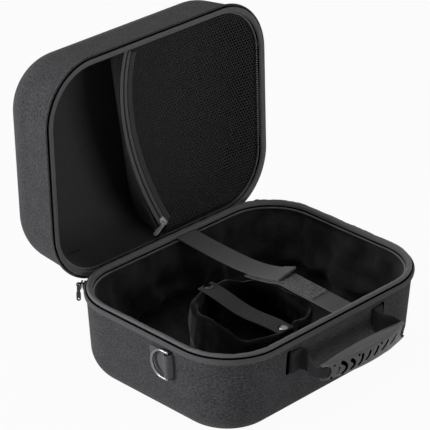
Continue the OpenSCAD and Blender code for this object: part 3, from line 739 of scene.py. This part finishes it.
def coil_turns(name, at, across, z, placed, length, half, thick, blunt):
    """Coil turns laid across a row, all worked out at once: each is a six-sided ring section swept over its width,
    as thick as the root of one less the squared share of the way out, with a blunt share added."""
    sides, rings = 6, 5
    a, u = angles(sides), np.linspace(-1, 1, rings)
    fat = (1 - blunt) * np.sqrt(1 - u ** 2) + blunt
    fat[[0, -1]] = 0
    turn = np.empty((len(at), rings, sides, 3))
    turn[..., :2] = (at[:, None, None] + across[:, None, None] * (u * half)[:, None, None]
                     - left_of(across)[:, None, None] * (length * fat[:, None] * np.cos(a))[..., None])
    turn[..., 2] = z + thick * fat[:, None] * np.sin(a)
    faces = grid_faces(rings, sides, False, True)[0]
    faces = (np.arange(len(at))[:, None, None] * rings * sides + faces[None]).reshape(-1, 4)
    return save(name, placed(turn.reshape(-1, 3)), faces.tolist())


def teeth(path, inset, z, pitch, r, name, placed):
    """The main zip's closed row of turns round a path."""
    points, normals, run = path
    total = run[-1] + np.linalg.norm(points[0] - points[-1])
    count = int(total / pitch)
    at = np.arange(count) * total / count
    where = np.append(run, total)
    place, out = (points_at(np.append(line, line[:1], 0), where, at) for line in (points, normals))
    out = unit(out)
    return coil_turns(name, place - out * inset, -out, z, placed,
                      length=pitch * 0.31, half=r * 1.25, thick=r, blunt=0.25)


class CASE_OT_zips(bpy.types.Operator):
    """Main zip: the tape rolled over each rim and its row of turns"""
    bl_idname = "case.zips"
    bl_label = "Main zip"

    def execute(self, context):
        s = context.scene.case_settings
        path = rim(spacing=2.2)

        def drop(p):
            return open_lid(np.concatenate([p[..., :2], LID_DEPTH - p[..., 2:]], -1))

        for name, height, rise, place in (("base", BASE_H, RIM_TOP - BASE_H, np.asarray),
                                          ("lid", LID_H, LID_RISE, drop)):
            profile = tape_profile(height, rise)
            flat = swept(profile, path)
            # The sewn tape puckers only on its hump
            hump = np.clip((profile[:, 1] - height) / rise, 0, 1)[:, None]
            pucker = s.tape_pucker * 1000 * hump * waves(flat, 9, 17)
            grid = swept(profile, path, pucker)
            under = rounded([(LINING_FACE + 0.35, height - TAPE_LEG, 0), (LINING_FACE + 0.2, height + 0.4, 0),
                             (4.9, height + rise - 1.2, 1.0), (3.5, height - 2.4, 0), (3.3, height - 2.6, 0)], 1.5)
            grid = np.concatenate([grid, swept(under[1:-1], path)])
            dress(surface(f"{name}_rolled_tape", place(grid), around=True, closed=True), name, "zip_twill",
                  "zip_tape", f"{name}_zip_tape")
            # Painted shade: black bands in the crease between bead and tape, and between the tape's edge and the
            # coil
            dark = (("seam_shadow", (2.5, height - 1.6), (2.6, height + 0.8)),
                    ("coil_edge_shade", (TAPE_W - 0.42, height - 1.3), (TAPE_W - 0.3, height - 5.4)))
            for part, top, foot in dark:
                band = surface(f"{name}_{part}", place(swept(np.linspace(top, foot, 4), path)), around=True)
                dress(band, name, "crease_shade_black", "zip_tape")
            row = teeth(path, TAPE_W + 0.35, height - TAPE_LEG - 1.1, s.tooth_pitch * 1000, COIL_R,
                        f"{name}_zip_turns", place)
            dress(row, name, "zip_nylon", "zip_coil", f"{name}_zip_coil")
        return {"FINISHED"}


SPINE_ROOT, SPINE_OVERLAP = 8.4, 0.6


class CASE_OT_spine(bpy.types.Operator):
    """Cloth spine that joins the halves behind the rims"""
    bl_idname = "case.spine"
    bl_label = "Hinge spine"

    def execute(self, context):
        low, high = box_mm("hinge_strip")
        z0 = BASE_H - SPINE_ROOT
        y0 = HALF_D - wall_in(z0, BASE_H, BASE_DRAFT) + SPINE_OVERLAP
        ends = []
        for depth in (LID_BEAD + LID_RISE + 5, LID_BEAD + LID_RISE + 9):
            inset = wall_in(LID_DEPTH - depth, LID_H, LID_DRAFT)
            ends.append(open_lid(np.array([0, HALF_D - inset + SPINE_OVERLAP, depth]))[1:])
        y1 = ends[0][0] - 3
        mid, half = (y0 + y1) / 2, (y1 - y0) / 2
        bend = arc((mid, z0 - 6), half, 180, 360, 14)
        line = even(np.concatenate([[[y0, z0]], bend, [[y1, HINGE_Z - 9.6]], [ends[0] - [1, 0.4]], ends]), 40)
        x = np.linspace(low[0], high[0], 90)
        grid = np.empty((len(line), len(x), 3))
        grid[..., 0] = x[None]
        grid[..., 1:] = line[:, None]
        push = np.sin(np.linspace(0, math.pi, len(line)))[:, None]
        grid[..., 2] -= 0.5 * push * (1 + waves(grid * [1, 0.3, 0.3], 22, 31))
        piece = surface("hinge_spine", grid)
        thicken(piece, SPINE_T)
        dress(piece, None, "spine_weave", "spine_cloth", "hinge_strip")
        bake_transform(piece)
        return {"FINISHED"}


# Grip, rings and straps

GRIP_LOW, GRIP_HIGH = box_mm("handle_grip")
GRIP_Z = (GRIP_LOW[2] + GRIP_HIGH[2]) / 2
GRIP_HALF = GRIP_HIGH[0]
GRIP_Y = GRIP_LOW[1]
NOTCH_X, NOTCH_R = GRIP_HALF - 3.5, 6.8
WEBBING_X, WEBBING_T, WEBBING_HALF = 64.1, 1.8, 12.0
SLOTS = [((-43.6, -4.7), (-40.2, 1.6), 1.3, 1.4), ((-37, -6.4), (-36.5, 5.2), 5.2, 3.2),
         ((-26.4, -4.9), (-25.2, 3.9), 4, 3.2), ((-16.6, -4.2), (-11.2, 4.4), 1.5, 2.6),
         ((-6.8, -2.6), (-0.8, 4), 0.9, 2.2), ((4.6, -2.2), (10.6, 3.8), 0.7, 2.2),
         ((16.2, -2), (26.2, 4), 0.7, 2), ((30.8, -1.6), (41.8, 3.8), 0.6, 1.8)]
DOTS = [(-45.8, 5), (-49.2, -7), (-15.9, 5.9), (16, 5.6)]
GRIP_BOW, SHADE_OVER, SHADE_LIFT, DOT_R = 8.5, 0.45, 0.1, 1.4
SLIT_HALF = [3.2, 0, 13.2]


def webbing_plan():
    """Plan of the carrying webbing: out of its slit, along the wall, out round the grip's end and into its notch."""
    turn, bend, tip = 1.7, 3.5, NOTCH_R - 1.3
    wall_y = -HALF_D + 0.8
    out_x, end_x, round_y = WEBBING_X - 14, GRIP_HALF + 3, GRIP_Y + 18.5
    swing = cubic([(out_x, wall_y - bend), (out_x, wall_y - 16), (end_x, round_y + 11), (end_x, round_y)],
                  np.linspace(0, 1, 20)[1:])
    fold = cubic([(end_x, round_y), (end_x, round_y - 6.5), (end_x - 3.5, GRIP_Y + 8.3),
                  (NOTCH_X - NOTCH_R + 1.3, GRIP_Y + 8)], np.linspace(0, 1, 20)[1:])
    plan = even(np.concatenate([[[WEBBING_X, -HALF_D + 5]],
                                arc((WEBBING_X - turn, wall_y + turn), turn, 0, -90, 8),
                                arc((out_x + bend, wall_y - bend), bend, 90, 180, 10), swing, fold]), 120)
    half = np.interp(-plan[:, 1], [HALF_D + 8, -GRIP_Y - 19], [WEBBING_HALF, tip])
    beyond = np.clip((NOTCH_X - plan[:, 0]) / tip, 0, 0.995) * (plan[:, 1] < round_y)
    return plan, half * np.sqrt(1 - beyond ** 2)


def copied(node, name, bevel=0.0):
    """A smooth-shaded copy of a construction node: its loose triangles are merged and flat faces joined, edges over
    35 degrees stay sharp, and a bevel softens them."""
    mesh = frame["nodes"][node].data.copy()
    mesh.name = name
    bm = bmesh.new()
    bm.from_mesh(mesh)
    bmesh.ops.remove_doubles(bm, verts=bm.verts, dist=2e-6)
    bmesh.ops.dissolve_limit(bm, angle_limit=math.radians(0.3), verts=bm.verts, edges=bm.edges)
    bm.to_mesh(mesh)
    bm.free()
    mesh.polygons.foreach_set("use_smooth", np.ones(len(mesh.polygons), bool))
    mesh.set_sharp_from_angle(angle=math.radians(35))
    piece = put(name, mesh)
    if bevel:
        rounding = piece.modifiers.new("softened edges", "BEVEL")
        rounding.width = bevel
        rounding.segments = 3
        rounding.angle_limit = math.radians(35)
        rounding.harden_normals = True
    return piece


def slot_shades():
    """Painted shade over the grip's slots and dots: dark patches a little wider than the holes, for their shaded
    depths and mouths,
    laid on the bowed front: each slot's centre line is foot + (head - foot) t + bulge 4 t (1 - t) sideways, and it
    widens towards its head."""
    r = (GRIP_HALF ** 2 + GRIP_BOW ** 2) / (2 * GRIP_BOW)
    points, faces = [], []

    def place(flat, new):
        start = len(points)
        flat = np.asarray(flat)
        points.extend(np.stack([flat[:, 0], GRIP_Y + r - np.sqrt(r * r - flat[:, 0] ** 2) - SHADE_LIFT,
                                GRIP_Z + flat[:, 1]], 1))
        faces.extend([start + k for k in face] for face in new)

    def disc(centre, radius):
        a = angles(16)
        place(np.array(centre) + radius * np.stack([np.cos(a), np.sin(a)], 1), [list(range(16))])

    for foot, head, bulge, width in SLOTS:
        foot, head = np.array(foot), np.array(head)
        t = np.linspace(0, 1, 12)[:, None]
        out = np.array([head[1] - foot[1], foot[0] - head[0]]) / np.linalg.norm(head - foot)
        line = foot + (head - foot) * t + out * bulge * 4 * t * (1 - t)
        side = left_of(frames(line)) * (width * (0.2 + 0.3 * t) + SHADE_OVER)
        n = len(line)
        place(np.concatenate([line + side, line - side]), [[k, k + 1, n + k + 1, n + k] for k in range(n - 1)])
        disc(head, width / 2 + SHADE_OVER)
        disc(foot, width / 5 + SHADE_OVER)
    for dot in DOTS:
        disc(dot, DOT_R)
    dress(save("grip_slot_shades", points, faces), "handle", "hole_shade_black", "grip_rubber")


def slit_shade(side, name):
    """Painted shade for a webbing's slit: a dark rounded oblong laid on the leaning wall, where the slit's opening
    lies in shade;
    its coordinates are the cosine and sine to the power 0.4."""
    count = 40
    a = angles(count)
    ring = np.stack([np.sign(np.cos(a)) * np.abs(np.cos(a)) ** 0.4, np.zeros(count),
                     np.sign(np.sin(a)) * np.abs(np.sin(a)) ** 0.4], 1)
    ring = ring * SLIT_HALF + [side * (WEBBING_X + 1.9), 0, GRIP_Z]
    ring[:, 1] = -HALF_D + wall_in(ring[:, 2], BASE_H, BASE_DRAFT) - 0.12
    middle = np.repeat(ring.mean(0)[None, None], count, 1)
    dress(surface(f"slit_shade_{name}", np.concatenate([ring[None], middle]), around=True), "base",
          "hole_shade_black", "shell_cloth")


class CASE_OT_handle(bpy.types.Operator):
    """Moulded grip and the webbing that carries it"""
    bl_idname = "case.handle"
    bl_label = "Carrying handle"

    def execute(self, context):
        grip = copied("handle_grip", "moulded_grip", 0.0004)
        dress(grip, "handle", "grip_rubber", "grip_rubber", "handle_grip")
        # Painted shade patches over the slots and dots
        slot_shades()
        plan, half = webbing_plan()
        for side, name in SIDES:
            line = in_space(plan, side, GRIP_Z)
            out = np.cross(frames(line), [0, 0, 1.0])
            up = np.linspace(-1, 1, 15)
            face = line[None] + (up[:, None] * half[None])[..., None] * np.array([0, 0, 1.0])
            # The selvages are thinner: half the thickness less a share that grows with the eighth power
            thick = WEBBING_T / 2 * (1 - 0.55 * np.abs(up) ** 8)[:, None, None]
            grid = np.concatenate([face + out[None] * thick, (face - out[None] * thick)[::-1]])
            piece = surface(f"grip_webbing_{name}", capped(grid), closed=True)
            dress(piece, None, "carry_webbing", "webbing", f"handle_webbing_{name}")
            # Painted shade patch for the slit's opening
            slit_shade(side, name)
            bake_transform(piece)
        return {"FINISHED"}


class CASE_OT_rings(bpy.types.Operator):
    """Strap rings on their sewn tabs"""
    bl_idname = "case.rings"
    bl_label = "Strap rings"

    def execute(self, context):
        repaint("nickel_wire", "d_ring_left", "d_ring_right")
        bar_y, wire_r, gap, thick = -36.5, 1.6, 0.35, 1.2
        bar_x, z = HALF_W + 0.9, 68.0
        half = 14.4 - wire_r - 0.4
        wall = HALF_W - wall_in(z, BASE_H, BASE_DRAFT) + 0.8
        r = wire_r + gap + thick / 2
        plan = np.concatenate([[[wall, bar_y + 25.5]], [[wall, bar_y + r + 2]],
                               arc((bar_x, bar_y), r, 75, -75, 14), [[wall, bar_y - r - 0.8]],
                               [[wall, bar_y - r - 1.4]]])
        plan = even(plan, 56)
        lean = (wall_in(z - 10, BASE_H, BASE_DRAFT) - wall_in(z + 10, BASE_H, BASE_DRAFT)) / 20
        for side, name in SIDES:
            line = in_space(plan, side, z)
            up = np.broadcast_to(np.array([side * lean, 0, 1.0]), line.shape)
            piece = strap(f"ring_tab_webbing_{name}", line, up, 2 * half, thick)
            dress(piece, "base", "webbing_rib", "webbing", f"ring_tab_{name}")
        return {"FINISHED"}


STRAP_X, STRAP_W, STRAP_T = 17.0, 26.0, 1.5
STRAP_TWIST, STRAP_CURL, CURL_FROM = 0.16, 1.6, 30
HOOK_END, LOOP_END, PATCH_END = -33.0, 12.0, -76.0
PATCH_OFF = 1.4


def hook_height(y):
    """Height of the upper holding strap: a flat sag behind its low point, a steeper rise to its free end."""
    return 88.5 + np.where(y > 30, 0.0006, 0.0024) * (y - 30) ** 2


def loop_height(y):
    """Height of the lower holding strap: under the upper one, then down to the front rim."""
    root = HALF_D - TAPE_W - 0.2
    return hook_height(np.maximum(y, HOOK_END)) - 3.9 - np.maximum(0, HOOK_END - y) / (HOOK_END + root) * 3.8


class CASE_OT_holding_straps(bpy.types.Operator):
    """The two straps that hold the headset down, with their hook and loop patches"""
    bl_idname = "case.holding_straps"
    bl_label = "Holding straps"

    def execute(self, context):
        root = HALF_D - TAPE_W - 0.2
        jobs = [
            ("upper_holding_strap", hook_height, root, HOOK_END, 0, STRAP_T, STRAP_W,
             "webbing_rib", "webbing", "hook_strap"),
            ("upper_strap_hem", hook_height, HOOK_END + 15, HOOK_END, 1.3, 1.3, STRAP_W - 0.6,
             "webbing_rib", "webbing"),
            ("hook_tape_patch", hook_height, LOOP_END, HOOK_END + 2, -PATCH_OFF, 1, STRAP_W - 3,
             "hook_nylon", "hook_tape", "hook_patch"),
            ("lower_holding_strap", loop_height, LOOP_END, -root, 0, STRAP_T, STRAP_W,
             "webbing_rib", "webbing", "loop_strap"),
            ("loop_tape_patch", loop_height, LOOP_END - 3, PATCH_END, PATCH_OFF, 1, STRAP_W - 2,
             "loop_pile", "loop_tape", "loop_patch"),
        ]
        for name, height, y0, y1, off, thick, width, material, slot, *nodes in jobs:
            y = np.linspace(y0, y1, 60)
            line = np.stack([np.full(60, STRAP_X), y, height(y) + off], 1)
            across = np.tile([1.0, 0, 0], (60, 1))
            if height is hook_height:
                curl = np.clip((CURL_FROM - y) / (CURL_FROM - HOOK_END), 0, 1) ** 2
                across[:, 2] = STRAP_TWIST * curl
                line[:, 2] += STRAP_CURL * curl
            piece = strap(name, line, across, width, thick)
            dress(piece, "base", material, slot, *nodes)
        return {"FINISHED"}


# Pouch

POUCH_X, POUCH_Y, POUCH_HALF, POUCH_R = -20.0, -20.0, 55.5, 46.0
POUCH_SLOPE = math.tan(math.radians(3.4))
POUCH_STRAP_X, POUCH_STRAP_W = -28.0, 20.0
POUCH_RIM, POUCH_FLOOR = 74.0, 5.8
RIM_WAVE, RIM_SAG, RIM_SLACK = 2.6, 1.5, 0.06


def pouch_rim(y):
    """Height of the pouch's rim, which rises towards the hinge."""
    return POUCH_RIM + (y - POUCH_Y) * POUCH_SLOPE


class CASE_OT_pouch(bpy.types.Operator):
    """Loose velvet pouch with its lifting strap and rivets"""
    bl_idname = "case.pouch"
    bl_label = "Pouch"

    def execute(self, context):
        path = rim(2 * POUCH_HALF, 2 * POUCH_HALF, POUCH_R, spacing=2.0)
        h = POUCH_RIM - POUCH_FLOOR
        outer = rounded([(44, 0, 0), (0.5, 0, 13), (0.6, h * 0.55, 30), (0.0, h - 2.4, 2.5), (3.0, h, 2.6),
                         (6.0, h - 2.4, 2.5), (6.2, h * 0.5, 30), (6.6, 6, 9), (44, 6, 0)], 1.6)
        flat = swept(outer, path)
        tall = np.clip(flat[..., 2] / h, 0, 1)
        inside = (np.arange(len(outer)) > len(outer) // 2)[:, None]
        # The wall crumples most half way up; the rim waves and slackens away from the strap
        crumple = waves(flat, 34, 41) * 0.9 + waves(flat, 15, 43) * 0.45
        lift = np.where(inside, -1, 1) * crumple * np.sin(math.pi * np.clip(tall, 0.06, 0.94)) * 1.1
        grid = swept(outer, path, lift)
        grid = with_floor(with_floor(grid)[::-1])[::-1]
        grid[..., 0] += POUCH_X
        grid[..., 1] += POUCH_Y
        share = np.clip(grid[..., 2] / h, 0, 1)
        slope = (grid[..., 1] - POUCH_Y) * POUCH_SLOPE
        free = 1 - np.exp(-((grid[..., 0] - POUCH_STRAP_X) / 15) ** 2)
        rim_wave = free * (RIM_WAVE * waves(grid * [1, 1, 0], 34, 47) - RIM_SAG)
        grid[..., 2] += POUCH_FLOOR + share ** 2 * (slope + rim_wave)
        slack = 1 - RIM_SLACK * free * share ** 4 * (1 + waves(grid * [1, 1, 0], 38, 49))
        grid[..., 0] = POUCH_X + (grid[..., 0] - POUCH_X) * slack
        grid[..., 1] = POUCH_Y + (grid[..., 1] - POUCH_Y) * slack
        piece = surface("velvet_pouch", grid, around=True)
        dress(piece, "base", "pouch_pile", "velvet", "pouch")

        y0, y1 = POUCH_Y + POUCH_HALF - 0.5, POUCH_Y - POUCH_HALF + 0.5
        t = np.linspace(0, 1, 70)
        y = y0 + (y1 - y0) * t
        dip = np.where((t > 0.08) & (t < 0.92), np.sin(math.pi * np.clip((t - 0.08) / 0.84, 0, 1)) ** 2, 0)
        line = np.stack([np.full(70, POUCH_STRAP_X), y, pouch_rim(y) + STRAP_T / 2 + 0.2 - 4 * dip], 1)
        piece = strap("pouch_lifting_strap", line, np.tile([1.0, 0, 0], (70, 1)), POUCH_STRAP_W, STRAP_T)
        dress(piece, "base", "elastic_rib", "webbing", "pouch_strap")
        repaint("black_nickel", "pouch_rivet_back")
        repaint("nickel_wire", "pouch_rivet_front")
        return {"FINISHED"}


# Lid pocket

POCKET_IN = LINING_FACE + 0.9
NET_DEPTH = 6.6
POCKET_TAPE = 5.0
NET_HOLE, NET_BAR = 0.75, 0.9
NET_BULGE, NET_WAVE, NET_RIDGE, RIDGE_Y, RIDGE_REACH = 2.6, 1.3, 3.4, 30, 15
ZIP_LINE = [(-35, -HALF_D + POCKET_IN + 3), (-52, -65), (-47, 7), (3, HALF_D - POCKET_IN - 13)]


def lid_strip(line, width, depth, thick, name):
    """A flat strip in the lid's rim plane along a plane line."""
    pts = np.concatenate([line, np.full((len(line), 1), depth + thick / 2)], 1)
    t = frames(pts)
    across = np.cross(t, [0, 0, 1.0])
    grid = capped(ribbon(pts, across, width, thick, edge=thick / 2))
    return surface(name, open_lid(grid), closed=True)


def pocket_turns(line):
    """The pocket zip's closed row of turns across a line."""
    pitch = 1.3
    run = run_along(line)
    at = points_at(line, run, np.arange(0, run[-1], pitch))
    across = left_of(frames(at))
    piece = coil_turns("pocket_zip_turns", at, across, NET_DEPTH + 0.45, open_lid,
                       length=pitch * 0.42, half=1.1, thick=0.7, blunt=0)
    dress(piece, "lid", "dark_nylon", "zip_coil", "pocket_zip_coil")


def pocket_net(curve):
    """The net: a lattice of six-sided openings. Each cell is a ring between its own rounded opening and the
    six-sided cell round it, and cells are kept where their middle lies inside the pocket's outline."""
    pitch = bpy.context.scene.case_settings.net_pitch * 1000
    left = beside(curve, -(POCKET_TAPE + 0.6))
    cc, rr = np.meshgrid(np.arange(-30, 60), np.arange(-60, 61))
    cx = ((cc + 0.5 * (rr % 2)) * pitch).ravel()
    cy = (rr * pitch * math.sqrt(3) / 2).ravel()
    r = CORNER_R - POCKET_IN
    w, d = HALF_W - POCKET_IN - r, HALF_D - POCKET_IN - r
    edge = np.hypot(np.maximum(np.abs(cx) - w, 0), np.maximum(np.abs(cy) - d, 0))
    keep = (edge < r - pitch * 0.45) & (cx > np.interp(cy, left[:, 1], left[:, 0]) + pitch * 0.3)
    keep &= cy > left[0, 1] - 8
    cx, cy = cx[keep], cy[keep]
    a = np.radians(np.arange(6) * 60 + 30)
    cell = pitch / math.sqrt(3)
    outer = np.stack([np.cos(a), np.sin(a)], 1) * cell
    hole, half = outer * NET_HOLE, NET_BAR / 2
    layers = [(outer, half * 0.55), (hole * 1.12, half), (hole, 0), (hole * 1.12, -half), (outer, -half * 0.55)]
    pts = np.empty((len(cx), 5, 6, 3))
    for k, (ring, z) in enumerate(layers):
        pts[:, k, :, 0] = cx[:, None] + ring[:, 0]
        pts[:, k, :, 1] = cy[:, None] + ring[:, 1]
        pts[:, k, :, 2] = z
    flat = pts[..., :2]
    out = np.hypot(np.maximum(np.abs(flat[..., 0]) - w, 0), np.maximum(np.abs(flat[..., 1]) - d, 0))
    room = np.clip((r - out) / 30, 0, 1)
    # It bulges as the sine of the way in from its edge, with waves and one ridge along a slanting line
    bulge = NET_BULGE * np.sin(room * math.pi / 2) + NET_WAVE * room * waves(pts * [1, 1, 0], 62, 53)
    ridge = (pts[..., 1] - RIDGE_Y - 0.12 * pts[..., 0] - 5 * waves(pts * [1, 0, 0], 90, 57)) / RIDGE_REACH
    bulge += NET_RIDGE * room * np.exp(-ridge ** 2)
    pts[..., 2] += NET_DEPTH + 0.5 + bulge
    faces = grid_faces(5, 6, False, True)[0]
    faces = (np.arange(len(cx))[:, None, None] * 30 + faces[None]).reshape(-1, 4)
    piece = save("pocket_net_panel", open_lid(pts.reshape(-1, 3)), faces.tolist())
    uv = piece.data.uv_layers.new(name="length")
    corner = np.empty(len(piece.data.loops), np.int32)
    piece.data.loops.foreach_get("vertex_index", corner)
    uv.data.foreach_set("uv", points_of(piece)[corner][:, [0, 2]].ravel())
    dress(piece, "lid", "net_yarn", "net", "pocket_net")


def pocket_wall(curve):
    """The pocket's cloth wall: straight lines from the zip's left tape back to the lid's floor, with folds that
    deepen half way."""
    rows, cols = 60, 36
    line = even(beside(curve, POCKET_TAPE - 0.4), rows)
    v = np.linspace(0, 1, cols)
    d0, d1 = NET_DEPTH + 1.0, LID_DEPTH - LINING_FACE + BEAD_OVER - 0.9
    depth = d0 + (d1 - d0) * v
    centre = wall_in(LID_EDGE_R, LID_H, LID_DRAFT) + LID_EDGE_R
    h = LID_DEPTH - depth
    curved = centre - np.sqrt(np.clip((LID_EDGE_R - LINING_LOW) ** 2 - (LID_EDGE_R - h) ** 2, 0, None))
    inset = np.where(h > LID_EDGE_R, wall_in(h, LID_H, LID_DRAFT) + LINING_LOW, curved)
    s = np.linspace(-1, 1, rows)[:, None]
    grid = np.empty((rows, cols, 3))
    back = 2 + 17 * (s + 1) / 2
    grid[..., 0] = line[:, :1] * (1 - v) + back * v
    grid[..., 1] = s * (HALF_D - inset - 0.9)[None]
    grid[..., 2] = depth[None]
    grid[..., 0] += 1.6 * np.sin(math.pi * v)[None] * waves(grid * [0.3, 1, 0.6], 48, 61)
    piece = surface("pocket_cloth_wall", open_lid(grid))
    thicken(piece, WALL_T)
    dress(piece, "lid", "pocket_velvet", "velvet", "pocket_wall")


class CASE_OT_pocket(bpy.types.Operator):
    """Netted pocket in the lid: net, binding, zip and the cloth wall behind the zip"""
    bl_idname = "case.pocket"
    bl_label = "Lid pocket"

    def execute(self, context):
        curve = cubic(ZIP_LINE, np.linspace(0, 1, 90))
        for side, name in ((-1, "right"), (1, "left")):
            line = beside(curve, side * (POCKET_TAPE + 0.9) / 2)
            piece = lid_strip(line, POCKET_TAPE - 0.9, NET_DEPTH, 0.9, f"pocket_tape_{name}")
            dress(piece, "lid", "zip_twill", "zip_tape", *(["pocket_zip_tapes"] if side < 0 else []))
        piece = lid_strip(beside(curve, -(POCKET_TAPE + 2.2)), 6.0, NET_DEPTH - 1.2, 1.1, "pocket_edge_binding")
        dress(piece, "lid", "binding_rib", "binding", "pocket_binding")
        closed = curve[curve[:, 1] < ZIP_LINE[3][1] - 4]
        pocket_turns(closed)
        pocket_net(curve)
        pocket_wall(curve)
        repaint("zinc_plate", "pocket_slider", "pocket_pull")
        return {"FINISHED"}


class CASE_OT_sliders(bpy.types.Operator):
    """Finish of the main zip's sliders and pulls"""
    bl_idname = "case.sliders"
    bl_label = "Main sliders"

    def execute(self, context):
        repaint("black_nickel", "zip_slider_left", "zip_slider_right", "zip_pull_left", "zip_pull_right")
        return {"FINISHED"}


# Stage

CAMERA_AT = (-1509.7, -1420.4, 1225.3)
CAMERA_AZ, CAMERA_EL, CAMERA_ROLL = -45.79, 27.34, -0.38
FOCAL_PX, FRAME_PX, SENSOR = 2417.3, 430, 36.0
OFF_CENTRE_PX = (0.71, 4.18)
WORLD_LIGHT = 0.045
FLOOR_HALF, FLOOR_GLOW = 4000, 0.95
LAMP_TARGET = (0.0, 0.04, 0.12)
LAMPS = (("key", (-2.4, 1.4, 0.45), 1.1, 56), ("fill", (-0.15, -2.9, 0.2), 1.5, 29),
         ("top", (-0.5, 0.5, 2.5), 1.1, 14), ("over", (-0.4, -1.0, 2.6), 0.9, 3))


def add_camera():
    """Camera at the photograph's viewing angle: its axes are the view's right, up and back, turned by the roll."""
    az, el, roll = (math.radians(v) for v in (CAMERA_AZ, CAMERA_EL, CAMERA_ROLL))
    back = np.array([math.sin(az) * math.cos(el), -math.cos(az) * math.cos(el), math.sin(el)])
    right = np.cross([0, 0, 1.0], back)
    right /= np.linalg.norm(right)
    up = np.cross(back, right)
    turned = (math.cos(roll) * right - math.sin(roll) * up, math.sin(roll) * right + math.cos(roll) * up, back)
    data = bpy.data.cameras.new("camera")
    data.lens = FOCAL_PX / FRAME_PX * SENSOR
    data.sensor_width = SENSOR
    data.shift_x = -OFF_CENTRE_PX[0] / FRAME_PX
    data.shift_y = OFF_CENTRE_PX[1] / FRAME_PX
    data.clip_end = 20
    camera = put("camera", data)
    matrix = Matrix.Identity(4)
    for k in range(3):
        for i in range(3):
            matrix[i][k] = float(turned[k][i])
        matrix[k][3] = CAMERA_AT[k] / 1000
    camera.matrix_world = matrix
    bpy.context.scene.camera = camera


def add_lamp(name, at, size, power):
    """A square soft lamp that looks at the case."""
    data = bpy.data.lights.new(name, "AREA")
    data.size = size
    data.energy = power
    lamp = put(name, data)
    lamp.rotation_euler = (Vector(LAMP_TARGET) - Vector(at)).to_track_quat("-Z", "Y").to_euler()
    lamp.location = at


class CASE_OT_stage(bpy.types.Operator):
    """Pale floor, soft lamps and the camera"""
    bl_idname = "case.stage"
    bl_label = "Stage"

    def execute(self, context):
        scene = context.scene
        scene.view_settings.view_transform = "Standard"
        world = bpy.data.worlds.new("studio")
        scene.world = world
        tree = fresh_nodes(world)
        rays = add(tree, "ShaderNodeLightPath").outputs
        soft = add(tree, "ShaderNodeBackground", {"Color": (1, 1, 1, 1), "Strength": WORLD_LIGHT})
        white = add(tree, "ShaderNodeBackground", {"Color": (1, 1, 1, 1), "Strength": 1.0})
        seen = math_node(tree, "MAXIMUM", rays["Is Camera Ray"], rays["Is Glossy Ray"])
        seen = math_node(tree, "MAXIMUM", seen, rays["Is Transmission Ray"])
        mix = add(tree, "ShaderNodeMixShader", {0: seen, 1: soft.outputs[0], 2: white.outputs[0]})
        add(tree, "ShaderNodeOutputWorld", {0: mix.outputs[0]})

        corners = np.array([[-1, -1, 0], [1, -1, 0], [1, 1, 0], [-1, 1, 0]]) * FLOOR_HALF
        floor = save("floor", corners, [[0, 1, 2, 3]])
        mat = bpy.data.materials.new("pale_floor")
        tree = fresh_nodes(mat)
        rays = add(tree, "ShaderNodeLightPath").outputs
        paper = add(tree, "ShaderNodeBsdfDiffuse", {"Color": linear("#f2f2f2")})
        glow = add(tree, "ShaderNodeEmission", {"Color": (1, 1, 1, 1), "Strength": 1.0})
        seen = math_node(tree, "MAXIMUM", rays["Is Camera Ray"], rays["Is Glossy Ray"])
        share = math_node(tree, "MULTIPLY", seen, FLOOR_GLOW)
        mix = add(tree, "ShaderNodeMixShader", {0: share, 1: paper.outputs[0], 2: glow.outputs[0]})
        add(tree, "ShaderNodeOutputMaterial", {0: mix.outputs[0]})
        floor.data.materials.append(mat)
        for lamp in LAMPS:
            add_lamp(*lamp)
        add_camera()
        return {"FINISHED"}


class CASE_PT_panel(bpy.types.Panel):
    """Lists the case's pieces"""
    bl_label = "Headset case"
    bl_idname = "CASE_PT_panel"
    bl_space_type = "VIEW_3D"
    bl_region_type = "UI"
    bl_category = "Case"

    def draw(self, context):
        for operator in OPERATORS:
            self.layout.operator(operator.bl_idname)


OPERATORS = (CASE_OT_stage, CASE_OT_shells, CASE_OT_linings, CASE_OT_zips, CASE_OT_spine, CASE_OT_handle,
             CASE_OT_rings, CASE_OT_holding_straps, CASE_OT_pouch, CASE_OT_pocket, CASE_OT_sliders)
CLASSES = (CaseSettings,) + OPERATORS + (CASE_PT_panel,)


def register():
    for cls in CLASSES:
        bpy.utils.register_class(cls)
    bpy.types.Scene.case_settings = bpy.props.PointerProperty(type=CaseSettings)


def unregister():
    del bpy.types.Scene.case_settings
    for cls in reversed(CLASSES):
        bpy.utils.unregister_class(cls)


def main():
    register()
    for operator in OPERATORS:
        group, name = operator.bl_idname.split(".")
        getattr(getattr(bpy.ops, group), name)()


if __name__ == "__main__":
    main()
